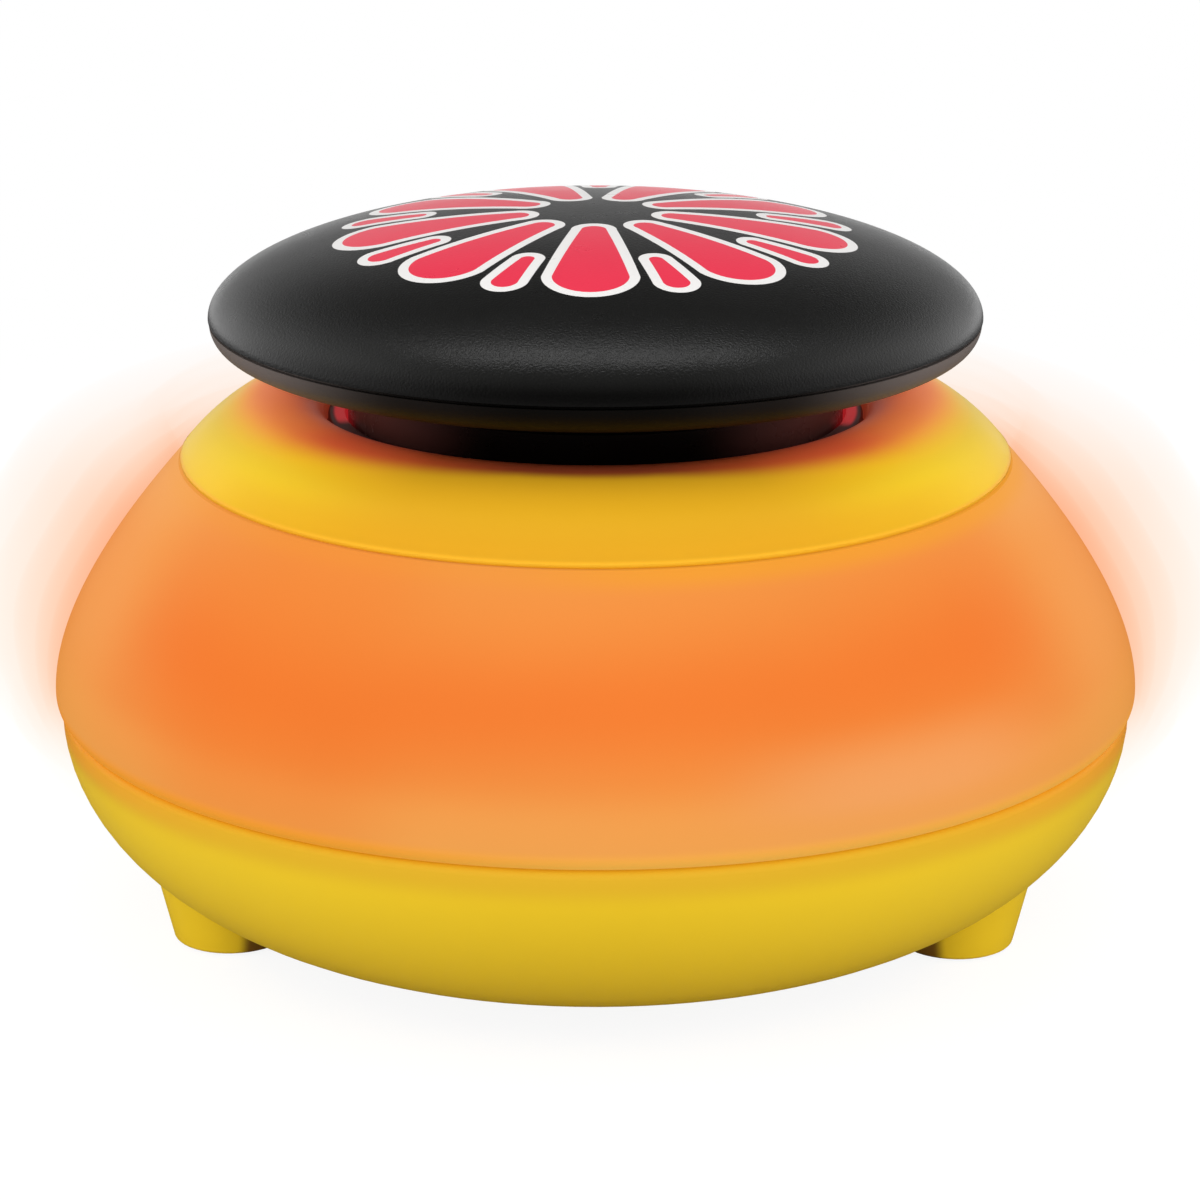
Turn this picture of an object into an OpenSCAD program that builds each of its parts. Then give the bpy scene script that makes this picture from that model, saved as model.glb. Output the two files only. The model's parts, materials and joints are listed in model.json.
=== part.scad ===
// Light-up quiz buzzer: a round base with a glowing band, and a wide button that
// slides in a well on a spring. The origin is on the table, on the axis of the
// base. +Z is up and -Y is the front.

/* [Base] */
// Largest diameter, across the light band
base_d = 125.6; // [124:0.2:128]
// Height of the seam between the bowl and the light band
bowl_h = 26.6; // [26:0.2:27]
// Height of the seam between the light band and the top shell
band_top = 54.6; // [54:0.2:55.4]
// Diameter of the top shell at its lower edge
shoulder_d = 95.8; // [95:0.2:97]
// Diameter of the well that the button slides in
well_d = 62; // [62:0.2:63]
// Wall of the moulded shells
wall = 2.2; // [2:0.1:2.4]
// Clearance between the table and the belly of the bowl
belly = 1.8; // [1.6:0.1:2.2]

/* [Button] */
// Diameter of the button cap
cap_d = 88.2; // [86:0.2:90]
// Height of the seam round the cap
cap_seam = 71; // [71:0.2:73]
// Rise of the cap's dome above its seam
dome_h = 11.8; // [10:0.2:14]
// Diameter of the collar below the cap
collar_d = 56.8; // [56:0.2:56.8]
// How far the button goes down when it is pressed
travel = 3; // [2:0.25:3]

/* [Feet] */
// Angle of the two front feet, each side of straight ahead
foot_angle = 71; // [68:1:74]
// Distance of the front feet from the axis
front_foot_r = 44.2; // [43.6:0.2:46]
// Distance of the rear foot from the axis
rear_foot_r = 48; // [47:0.2:49]
// Diameter of a foot at its lower end
foot_d = 13.6; // [13:0.2:14]
// Diameter of the rubber pad under a foot
pad_d = 10.8; // [8:0.2:11]

/* [Inside] */
// Diameter of the loudspeaker
speaker_d = 36; // [34:1:36]
// Diameter of a battery cell
cell_d = 10.5; // [10:0.1:10.5]
// Length of a battery cell
cell_l = 44.5; // [44:0.5:44.5]
// Turns of the return spring, with a closed one at each end
spring_turns = 8; // [6:1:10]

/* [Hidden] */
$fn = 96;

gap = 0.15;          // clearance between fixed pieces that locate each other
slack = 0.4;         // radial clearance round the sliding collar
eps = 0.05;          // the least gap between a moving face and its stop
steps = 22;          // straight steps in a curved outline

// Base
base_r = base_d / 2;
shoulder_r = shoulder_d / 2;
well_r = well_d / 2;
bowl_r = base_r - 0.7;          // the bowl stands just inside the band's widest line
bowl_flat_r = 32;               // the bowl's floor is flat inside this radius
bowl_power = 1.93;              // superellipse power of the bowl's side
rim_round = 1;                  // rounding of the bowl's edge, which meets the band's lip in a groove
rim_z = band_top + 5.55;        // edge of the well
land_z = rim_z - 2.15;          // flat under the top shell that takes the light ring
floor_z = belly + wall;         // inside of the bowl's floor
skirt_r = shoulder_r - 2.9;     // locating skirt under the top shell
skirt_h = 2.4;
skirt_wall = 1.4;
top_wall = 2.4;
ring_flange = 4.2;              // the light ring's flange is under this much of the rim
band_wall = 2.2;
lip = 1.6;                      // round lower lip of the band
band_in = 6.6;                  // the band's side leaves the shoulder outwards and downwards,
band_down = 7.4;                // by this much each way
band_up = 8.2;                  // and comes to the lip from this far above it
crest_in = 2.5;                 // the top rises from the well's edge, drawn this far outwards
crest_up = 4.25;                // and this far up, to a crest that hides the light ring in front,
crest_out = 5.9;                // and falls to the shoulder from this far in
crest_h = 2.05;                 // and this far over the well's edge
spigot_r = bowl_r - wall - gap - 0.2; // the band's skirt inside the bowl

// Button
cap_r = cap_d / 2;
collar_r = collar_d / 2;
collar_wall = 2;
collar_inner = collar_r - collar_wall;
dome_power = 1.97;
dome_wall = 2.2;
groove = 0.4;                   // open seam round the cap
flare_down = 4.4;               // the underside leaves the seam straight down by this much
flare_in = 7;                   // and turns in towards the collar from here
flare_out = 3.3;
collar_top = cap_seam - 6;
web_top = cap_seam - 9;
web_t = 2;
land_top = cap_seam - 4.2;      // flat land inside the cap's underside
land_r1 = 25;
land_r2 = 31.5;
land_wall = 1.5;                // ring that bears on the land
boss_r = 3.2;
boss_top = cap_seam + dome_h - 2.6; // the screw bosses end inside the dome's wall
rib_t = 1.2;
rib_in = 4;                     // the dome's ribs run from this radius
rib_out = 37;                   // to this one
rib_z = cap_seam + 3.4;         // lower edge of the dome's ribs

// Guide frame, its bushing and the stem that runs in it
guide_r = collar_r + slack;
guide_t = 1.8;
frame_floor = rim_z - 15.15;    // top of the frame's floor
frame_t = 2;
frame_under = frame_floor - frame_t;
frame_top = land_z - 1.6;
frame_window = 4.5;             // radius of the openings that lighten the floor
frame_window_ring = 18;
bush_z = frame_floor - 3.5;     // lower end of the bushing
bush_r = 7.5;
stem_r = 4.6;
stem_z = bush_z - eps;          // lower end of the stem, on the washer
washer_t = 1;
washer_hole = 1.5;
collar_z = frame_floor + travel + 0.1;
key_w = 2.4;                    // keys on the frame that stop the button from turning
key_h = 5;
key_reach = 1.6;                // how far a key stands into the well
spring_r = 7;                   // middle of the spring's wire
spring_wire = 0.5;              // radius of the wire

// Circuit board and what stands on it
board_top = 32;
board_t = 1.6;
board_r = 44;
band_led_ring = 37;
band_led_r = 2.45;
band_led_l = 8.6;
ring_led_ring = 32.5;
ring_led_r = 1.5;
ring_led_l = 5.2;
chip_at = [-14, 8];
capacitor_at = [15, 8];
resistors_at = [-3.5, -12];
resistor_pitch = 3.2;

// Screws and the posts they run in
case_ring = 41;
case_post = 4.2;
case_shank = 1.25;
case_seat = board_top - 3.6;    // the case screws' heads bear here
case_rib_h = bowl_h - 6;        // ribs that tie the case posts to the bowl's side
case_angles = [0, 120, 240];
lug_ring = 36.5;
lug_r = 4.2;
lug_t = 2.5;
lug_z = frame_floor + 4;        // underside of the frame's lugs
leg_ring = 24;
leg_r = 3;                      // the frame's legs, which stand on the board
boss_ring = 20;
lug_angles = [60, 180, 300];
boss_angles = [90, 210, 330];
led_angles = [30:60:330];
pilot = 1.15;                   // hole that a screw cuts its thread in
shank = 1.1;
screw_hole = 1.6;               // clearance hole for a shank
dome_screw = [2.6, 1.8, 9];     // head radius, head height, shank length
stem_screw = [2.8, 2, 10];
frame_screw = [2.6, 1.6, 8];
case_screw = [2.9, 2.1, 15];
speaker_screw = [2.4, 1.6, 5.4];
head_z = stem_z - washer_t - stem_screw[1]; // underside of the stem screw's head

// Feet, each given as its angle from the front and its distance from the axis
feet = [[-foot_angle, front_foot_r], [foot_angle, front_foot_r], [180, rear_foot_r]];
sole_z = 0.3;                   // the pads stand this far out of the feet
pad_t = 1.6;
foot_round = 0.6;               // radius of a foot's lower edge
foot_top = 14;                  // a foot runs up to here, inside the bowl's side
foot_draft = 13;                // slope of a foot's side, in degrees

// Batteries, along X in a box at the rear
box_x = 25;                     // half the box's length inside
box_y = [5.9, 5.9 + 2 * cell_d + 1.2];
box_top = floor_z + 11.5;
box_wall = 1.5;
cell_z = floor_z + 0.35 + cell_d / 2;
cell_y = [box_y[0] + 0.3 + cell_d / 2, box_y[1] - 0.3 - cell_d / 2];
contact_t = 0.5;
contact_w = 8;
tab_w = 3;                      // tabs on the terminals, for the leads
tab_z = cell_z + 3;
door_t = 1.5;
door_screw_y = box_y[1] + 5.5;
door_post = 3.4;                // post that the door's screw runs in
door_post_h = 13;
door_head_r = 2.45;             // countersunk head of the door's screw
door_head_h = 1.35;
hook_x = 14;
hook_w = 6;
hook_t = 1.2;
door_rib_x = 18;                // ribs under the cells

// Loudspeaker, facing down at the front
speaker_y = -16.5;
speaker_r = speaker_d / 2;
speaker_lip = 2.2;              // width of the shelf under the speaker's rim
seat_wall = 1.8;                // wall round the speaker
shelf_z = floor_z + 2;
gasket_t = 1;
rim_t = 1;
speaker_z = shelf_z + gasket_t; // underside of the speaker's rim
magnet_z = speaker_z + 5.6;
magnet_r = 9.6;
retainer_t = 1.4;
ear_x = speaker_r + 5.5;
ear_r = 3;
tag_z = speaker_z + 5.2;        // strip that the leads are soldered to
grille_r = 1.1;
grille_pitch = 4.1;

// Power switch
switch_at = [29, -6];
knob_size = [3, 4];
knob_travel = 3;
knob_z = belly + 0.3;           // lower face of the knob, inside its recess
switch_size = [6.6, 13, 5.2];
switch_z = floor_z + 0.4;
cradle_wall = 1.15;
slot_gap = 0.2;
finger_w = 7;                   // recess in the floor for a fingertip, round the knob
finger_l = 11;
finger_deep = 0.8;
pin_pitch = 2.5;

// Leads
lead_r = 0.6;

function polar(a, r) = [r * sin(a), -r * cos(a), 0];
function reversed(p) = [for (i = [len(p) - 1:-1:0]) p[i]];
function raised(p, dz) = [for (q = p) [q[0], q[1] + dz]];
function within(p, lo, hi) = [for (q = p) if (q[0] > lo && q[0] < hi) q];

// A cubic curve from a to d that leaves a towards b and reaches d from c
function bezier(a, b, c, d, n = steps) =
    [for (i = [0:n]) let (t = i / n, u = 1 - t)
        u * u * u * a + 3 * u * u * t * b + 3 * u * t * t * c + t * t * t * d];

// A quarter superellipse from its tip on the r axis, [c + a, z], to its tip on the z axis, [c, z + h]
function quarter(c, z, a, h, power, n = steps) =
    [for (i = [0:n]) let (t = 90 * i / n)
        [c + a * pow(cos(t), 2 / power), z + h * pow(sin(t), 2 / power)]];

// An arc round c, from angle a0 to a1
function arc(c, r, a0, a1, n = 6) =
    [for (i = [0:n]) let (a = a0 + (a1 - a0) * i / n) c + r * [cos(a), sin(a)]];

// An open outline moved sideways by d, to its right as it runs
function inset(p, d) =
    [for (i = [0:len(p) - 1])
        let (t = p[min(i + 1, len(p) - 1)] - p[max(i - 1, 0)])
            p[i] + d * [t[1], -t[0]] / norm(t)];

// Outlines of the outer surfaces, in radius and height
function bowl_side(depth = 0) =
    [for (q = quarter(bowl_flat_r, 0, bowl_r - depth - bowl_flat_r,
                      bowl_h - rim_round - belly - depth, bowl_power))
        [q[0], bowl_h - rim_round - q[1]]];
band_side = bezier([shoulder_r, band_top], [shoulder_r + band_in, band_top - band_down],
                   [base_r, bowl_h + lip + band_up], [base_r, bowl_h + lip]);
top_side = bezier([well_r + 0.3, rim_z + 0.05], [well_r + crest_in, rim_z + crest_up],
                  [shoulder_r - crest_out, rim_z + crest_h], [shoulder_r - 0.2, band_top + 0.55]);
dome_side = quarter(0, cap_seam + groove / 2, cap_r, dome_h - groove / 2, dome_power);
dome_inside = quarter(0, cap_seam + groove / 2, cap_r - dome_wall, dome_h - groove / 2 - dome_wall,
                      dome_power);
under_side = bezier([cap_r - 0.1, cap_seam - groove / 2], [cap_r - 0.3, cap_seam - flare_down],
                    [cap_r - flare_in, cap_seam - flare_out], [collar_r + 0.1, collar_top - 1]);

module around(angles, r) {
    for (a = angles)
        translate(polar(a, r)) rotate(a) children();
}

module tube(r1, r2, h) {
    difference() {
        cylinder(r = r2, h = h);
        translate([0, 0, -1]) cylinder(r = r1, h = h + 2);
    }
}

// A pan-head screw whose head stands on z = 0 and whose shank points up
module screw(size, shank_r = shank) {
    head_r = size[0];
    head_h = size[1];
    shank_l = size[2];
    difference() {
        rotate_extrude(convexity = 2)
            polygon(concat([[0, -head_h], [head_r - 0.6, -head_h]],
                           arc([head_r - 0.6, -head_h + 0.6], 0.6, -90, 0, 4),
                           [[head_r, 0], [shank_r, 0], [shank_r, shank_l - 1],
                            [0, shank_l]]));
        for (a = [0, 90])
            rotate(a) translate([-head_r * 0.6, -0.35, -head_h - 1])
                cube([head_r * 1.2, 0.7, 1.6]);
    }
}

// A rounded bar with its middle on the origin
module plate(x, y, h, r) {
    linear_extrude(h) {
        square([x - 2 * r, y], center = true);
        square([x, y - 2 * r], center = true);
        for (i = [-1, 1], j = [-1, 1])
            translate([i * (x / 2 - r), j * (y / 2 - r)]) circle(r);
    }
}

// A round wire that follows a list of points
module sweep(points, r, sides = 8) {
    n = len(points);
    function along(i) = let (t = points[min(i + 1, n - 1)] - points[max(i - 1, 0)]) t / norm(t);
    function side(t) = let (s = abs(t[2]) > 0.9 ? cross(t, [1, 0, 0]) : cross(t, [0, 0, 1])) s / norm(s);
    rings = [for (i = [0:n - 1], k = [0:sides - 1])
        let (t = along(i), s = side(t), u = cross(s, t), a = 360 * k / sides)
            points[i] + r * (cos(a) * s + sin(a) * u)];
    walls = [for (i = [0:n - 2], k = [0:sides - 1])
        let (j = (k + 1) % sides) [i * sides + k, i * sides + j, (i + 1) * sides + j, (i + 1) * sides + k]];
    ends = [[for (k = [sides - 1:-1:0]) k], [for (k = [0:sides - 1]) (n - 1) * sides + k]];
    polyhedron(points = rings, faces = concat(walls, ends), convexity = 6);
}

// Height of a spring's wire after n turns: closed by one turn at each end where wire > 0
function climb(n, turns, wire, h) =
    wire == 0 ? h * n / turns
    : n < 1 ? wire * n
    : n > turns - 1 ? h - wire * (turns - n)
    : wire + (h - 2 * wire) * (n - 1) / (turns - 2);

// Points of a coil whose radius goes from r1 to r2 as it climbs from z1 to z2
function coil(r1, r2, z1, z2, turns, wire = 0, per_turn = 14) =
    [for (i = [0:turns * per_turn]) let (n = i / per_turn, r = r1 + (r2 - r1) * n / turns)
        [r * cos(360 * n), r * sin(360 * n), z1 + climb(n, turns, wire, z2 - z1)]];

// ---- Button ----

// A flat rib along +X under the dome, from radius r1 to r2 and up into the middle of its wall
module dome_rib(r1, r2, foot_z) {
    deep = dome_wall / 2;
    middle = quarter(0, cap_seam + groove / 2, cap_r - deep, dome_h - groove / 2 - deep, dome_power);
    rotate([90, 0, 0]) translate([0, 0, -rib_t / 2]) linear_extrude(rib_t)
        polygon(concat([[r1, foot_z], [r2, foot_z]], within(middle, r1, r2),
                       [[r1, cap_seam + dome_h - deep]]));
}

module button_dome() {
    color([0.13, 0.13, 0.12]) {
        rotate_extrude(convexity = 4)
            polygon(concat(dome_side, reversed(dome_inside)));
        // a ring that holds the underside down on the collar, screw bosses and ribs
        translate([0, 0, land_top]) tube(land_r2 - 0.5 - land_wall, land_r2 - 0.5, dome_h);
        around(boss_angles, boss_ring) translate([0, 0, web_top]) difference() {
            cylinder(r = boss_r, h = boss_top - web_top);
            translate([0, 0, -1]) cylinder(r = pilot, h = dome_screw[2] + 1);
        }
        for (a = [0:60:300]) rotate(a) dome_rib(rib_in, rib_out, rib_z);
    }
}

module button_underside() {
    inner = raised(within(under_side, land_r2, cap_r - dome_wall), 1.9);
    color([0.16, 0.16, 0.15])
        rotate_extrude(convexity = 4)
            polygon(concat([[cap_r - 0.7, cap_seam - groove / 2]], under_side,
                           [[collar_r + 0.1, collar_top], [land_r1, collar_top],
                            [land_r1, land_top], [land_r2, land_top]],
                           reversed(inner),
                           [[cap_r - dome_wall - 0.1, cap_seam + groove / 2],
                            [cap_r - 0.7, cap_seam + groove / 2]]));
}

module plunger() {
    seat_r = spring_r + 1.8;
    seat_h = 1.5;
    under_web = web_top - web_t;
    rib_h = 4;
    slot_h = 8;
    color([0.07, 0.07, 0.07]) difference() {
        union() {
            translate([0, 0, collar_z]) tube(collar_inner, collar_r, collar_top - collar_z);
            translate([0, 0, under_web]) cylinder(r = collar_inner + 0.5, h = web_t);
            translate([0, 0, stem_z]) cylinder(r = stem_r, h = web_top - stem_z);
            // spring seat and ribs under the web
            translate([0, 0, under_web - seat_h]) tube(seat_r, seat_r + 1.4, seat_h + 0.5);
            around([0:60:300], 0) translate([-rib_t / 2, -collar_inner - 0.5, under_web - rib_h])
                cube([rib_t, collar_inner - seat_r - 0.3, rib_h + 1]);
        }
        translate([0, 0, stem_z - 1]) cylinder(r = pilot, h = stem_screw[2] + 1);
        around(boss_angles, boss_ring) translate([0, 0, under_web - 1])
            cylinder(r = screw_hole, h = web_t + 2);
        // slots for the frame's keys
        around(case_angles, collar_r) translate([-key_w / 2 - slack, -collar_wall, collar_z - 1])
            cube([key_w + 2 * slack, 5, slot_h + 1]);
    }
}

module dome_screws() {
    color("silver") around(boss_angles, boss_ring)
        translate([0, 0, web_top - web_t]) screw(dome_screw);
}

module retaining_washer() {
    color("silver") translate([0, 0, stem_z - washer_t]) tube(washer_hole, bush_r, washer_t);
}

module retaining_screw() {
    color("silver") translate([0, 0, stem_z - washer_t]) screw(stem_screw);
}

module return_spring() {
    rest = spring_wire + eps;
    color("gainsboro")
        sweep(coil(spring_r, spring_r, frame_floor + rest, web_top - web_t - rest, spring_turns,
                   2.3 * spring_wire), spring_wire, 6);
}

// ---- Top of the base ----

module top_shell() {
    inner = raised(within(top_side, well_r + ring_flange, skirt_r - skirt_wall), -top_wall);
    outline = concat(top_side, arc([shoulder_r - 0.7, band_top + 0.5], 0.5, 10, -80, 4),
                     [[shoulder_r - 0.8, band_top]]);
    color([0.96, 0.78, 0.12]) {
        rotate_extrude(convexity = 4)
            polygon(concat([[well_r, rim_z - 0.4]], outline,
                           [[skirt_r, band_top], [skirt_r, band_top - skirt_h],
                            [skirt_r - skirt_wall, band_top - skirt_h],
                            [skirt_r - skirt_wall, band_top + 1.8]],
                           reversed(inner),
                           [[well_r + ring_flange, land_z], [well_r, land_z]]));
        intersection() {
            rotate_extrude()
                polygon(concat([[0, board_top], [0, rim_z - 1], [well_r, rim_z - 1]],
                               raised(top_side, -1), [[shoulder_r - 1.2, band_top + 0.5],
                               [shoulder_r - 1.2, board_top]]));
            union() {
                around(case_angles, case_ring) translate([0, 0, board_top])
                    screw_post(case_post - 0.8, case_shank + eps, case_screw[2] - 2);
                around(lug_angles, lug_ring) translate([0, 0, lug_z + lug_t])
                    screw_post(lug_r - 1.2, pilot, frame_screw[2] - 2);
            }
        }
    }
}

// A post with a blind hole in its lower end, far longer than the shell it is cut off by
module screw_post(r, hole_r, depth) {
    difference() {
        cylinder(r = r, h = 40);
        translate([0, 0, -1]) cylinder(r = hole_r, h = depth + 1);
    }
}

module light_ring() {
    color([0.85, 0.12, 0.12, 0.8])
        rotate_extrude(convexity = 4)
            polygon(concat([[guide_r, frame_top], [well_r + 2.2, frame_top],
                            [well_r + 2.2, land_z], [well_r - 0.3, land_z]],
                           arc([well_r - 0.7, rim_z - 0.65], 0.4, 0, 90, 4),
                           [[guide_r, rim_z - 0.25]]));
}

module guide_frame() {
    leg_h = frame_under - board_top;
    lug_reach = lug_ring - guide_r - 1;
    lug_rib = 1.6;
    lug_rib_l = 3.1;
    color([0.85, 0.85, 0.82]) difference() {
        union() {
            translate([0, 0, frame_under]) tube(guide_r, guide_r + guide_t, frame_top - frame_under);
            translate([0, 0, frame_under]) cylinder(r = guide_r + 0.5, h = frame_t);
            translate([0, 0, bush_z]) cylinder(r = bush_r, h = frame_under - bush_z + 0.5);
            around(case_angles, guide_r) translate([-key_w / 2, -0.5, frame_floor - 0.5])
                cube([key_w, key_reach + 0.5, key_h + 0.5]);
            around(lug_angles, leg_ring) translate([0, 0, board_top]) cylinder(r = leg_r, h = leg_h + 0.5);
            // lugs, each on a rib down the frame's side
            around(lug_angles, lug_ring) {
                translate([0, 0, lug_z]) cylinder(r = lug_r, h = lug_t);
                translate([-lug_r, 0, lug_z]) cube([2 * lug_r, lug_reach, lug_t]);
                translate([-lug_rib / 2, lug_reach - lug_rib_l, frame_under])
                    cube([lug_rib, lug_rib_l, lug_z - frame_under + 0.5]);
            }
        }
        translate([0, 0, bush_z - 1]) cylinder(r = stem_r + gap, h = 10);
        around(lug_angles, leg_ring) translate([0, 0, board_top - 1])
            cylinder(r = pilot, h = frame_screw[2] + 1);
        around(lug_angles, lug_ring) translate([0, 0, lug_z - 1]) cylinder(r = screw_hole, h = lug_t + 2);
        around(case_angles, frame_window_ring) translate([0, 0, frame_under - 1])
            cylinder(r = frame_window, h = frame_t + 2);
    }
}

module frame_screws() {
    color("silver") around(lug_angles, lug_ring)
        translate([0, 0, lug_z]) screw(frame_screw);
}

module diffuser_band() {
    inner = inset(band_side, band_wall);
    seat_r = skirt_r + 0.2;
    spigot_t = skirt_wall;
    color([0.98, 0.52, 0.16, 0.85])
        rotate_extrude(convexity = 4)
            polygon(concat([[seat_r, band_top]], band_side,
                           arc([base_r - lip, bowl_h + lip], lip, -15, -90, 5),
                           [[spigot_r, bowl_h], [spigot_r, bowl_h - skirt_h],
                            [spigot_r - spigot_t, bowl_h - skirt_h],
                            [spigot_r - spigot_t, bowl_h + lip]],
                           reversed([for (q = inner) if (q[1] < band_top - 2) q]),
                           [[seat_r, band_top - 2]]));
}

// ---- Circuit board ----

module circuit_board() {
    notch = case_post + 0.7;
    notch_l = 6;
    color([0.1, 0.42, 0.2]) translate([0, 0, board_top - board_t]) difference() {
        cylinder(r = board_r, h = board_t);
        // notches round the case posts, and holes for the screws into the frame's legs
        around(case_angles, case_ring) translate([0, 0, -1]) {
            cylinder(r = notch, h = board_t + 2);
            translate([-notch, -notch_l, 0]) cube([2 * notch, notch_l, board_t + 2]);
        }
        around(lug_angles, leg_ring) translate([0, 0, -1]) cylinder(r = screw_hole, h = board_t + 2);
    }
}

module board_screws() {
    color("silver") around(lug_angles, leg_ring)
        translate([0, 0, board_top - board_t]) screw(frame_screw);
}

module rubber_dome_switch() {
    top = head_z - eps;
    color([0.8, 0.8, 0.78]) rotate_extrude(convexity = 4)
        polygon([[4.4, board_top], [6.5, board_top], [6.5, board_top + 0.9], [5.3, board_top + 0.9],
                 [3.3, top - 1.6], [3, top], [0, top], [0, top - 2.6], [1.9, top - 2.6],
                 [2.3, top - 2.2], [4.4, board_top + 0.6]]);
}

// A round lamp that shines along +Z from z = 0
module led(r, length) {
    flange_r = r + 0.45;
    flange_t = 1;
    rotate_extrude()
        polygon(concat([[0, 0], [flange_r, 0], [flange_r, flange_t], [r, flange_t]],
                       arc([0, length - r], r, 0, 90, 8)));
}

module band_leds() {
    axis_h = band_led_r + 0.75;
    leg_x = 1.27;
    leg_y = 1.2;
    wire_r = 0.3;
    color([0.95, 0.3, 0.15]) around(led_angles, band_led_ring) translate([0, 0, board_top]) {
        translate([0, 0, axis_h]) rotate([90, 0, 0]) led(band_led_r, band_led_l);
        // bent legs
        for (x = [-leg_x, leg_x]) translate([x, leg_y, 0]) {
            cylinder(r = wire_r, h = axis_h);
            translate([0, wire_r, axis_h]) rotate([90, 0, 0]) cylinder(r = wire_r, h = leg_y + 0.4);
        }
    }
}

module ring_leds() {
    leg_h = 4;
    leg_x = 0.9;
    wire_r = 0.25;
    color([0.9, 0.15, 0.12]) around(led_angles, ring_led_ring) translate([0, 0, board_top]) {
        translate([0, 0, leg_h]) led(ring_led_r, ring_led_l);
        for (x = [-leg_x, leg_x]) translate([x, 0, 0]) cylinder(r = wire_r, h = leg_h + 0.2);
    }
}

// A blob of resin over the chip
module sound_chip() {
    ball_r = 8.2;
    height = 1.7;
    color([0.1, 0.1, 0.1]) translate([chip_at[0], chip_at[1], board_top]) intersection() {
        translate([0, 0, height - ball_r]) sphere(r = ball_r);
        cylinder(r = ball_r + 0.8, h = 4);
    }
}

// A can with a crimped waist near its foot
module capacitor() {
    r = 3.2;
    h = 8.1;
    waist_z = 1.2;
    color([0.15, 0.2, 0.5]) translate([capacitor_at[0], capacitor_at[1], board_top]) rotate_extrude()
        polygon([[0, 0], [r, 0], [r, waist_z - 0.3], [r - 0.25, waist_z], [r, waist_z + 0.3],
                 [r, h - 0.3], [r - 0.3, h], [0, h]]);
}

module resistors() {
    length = 7;
    body_r = 1.1;
    axis_h = 1.3;
    wire_r = 0.3;
    color([0.8, 0.65, 0.45]) for (i = [0:2])
        translate([resistors_at[0], resistors_at[1] - resistor_pitch * i, board_top]) {
            translate([0, 0, axis_h]) rotate([0, 90, 0]) cylinder(r = body_r, h = length);
            for (x = [-1, length + 1]) translate([x, 0, 0]) cylinder(r = wire_r, h = axis_h + wire_r);
            translate([-1, 0, axis_h]) rotate([0, 90, 0]) cylinder(r = wire_r, h = length + 2);
        }
}

// ---- Bowl ----

// The bowl's outer form, less a skin of the depth, filled up to a height
module bowl_form(depth, top) {
    rotate_extrude()
        polygon(concat([[0, top], [bowl_r - depth, top]], bowl_side(depth),
                       [[0, belly + depth]]));
}

module foot_peg() {
    r = foot_d / 2 - foot_round;
    top_r = r + foot_round + (foot_top - sole_z) * tan(foot_draft);
    rotate_extrude()
        polygon(concat([[0, sole_z], [r, sole_z]],
                       arc([r, sole_z + foot_round], foot_round, -90, -foot_draft, 4),
                       [[top_r, foot_top], [0, foot_top]]));
}

// The feet's places, for what is drawn about each foot's own axis
module at_feet() {
    for (f = feet) translate(polar(f[0], f[1])) children();
}

// The door's outline, grown by d
module door_outline(d) {
    y_mid = (box_y[0] + box_y[1]) / 2;
    translate([0, y_mid, -5]) plate(2 * box_x + 4 + 2 * d, box_y[1] - box_y[0] + 3 + 2 * d, 20, 2);
    translate([0, door_screw_y - 3, -5]) plate(9 + 2 * d, 13 + 2 * d, 20, 3);
}

// A shelf under the speaker's rim, a wall round it and a boss for each screw
module speaker_seat() {
    shelf_h = shelf_z - floor_z + 0.5;
    wall_h = shelf_h + gasket_t + rim_t;
    translate([0, speaker_y, floor_z - 0.5]) {
        tube(speaker_r - speaker_lip, speaker_r + seat_wall, shelf_h);
        tube(speaker_r + 0.3, speaker_r + seat_wall, wall_h);
        for (s = [-1, 1]) translate([s * ear_x, 0, 0]) cylinder(r = ear_r, h = wall_h);
    }
}

// One hole in the middle and three rings of them
module grille_holes() {
    translate([0, speaker_y, -1]) {
        cylinder(r = grille_r, h = 10);
        for (ring = [1:3], i = [0:6 * ring - 1])
            rotate(60 * i / ring) translate([grille_pitch * ring, 0, 0]) cylinder(r = grille_r, h = 10);
    }
}

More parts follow.
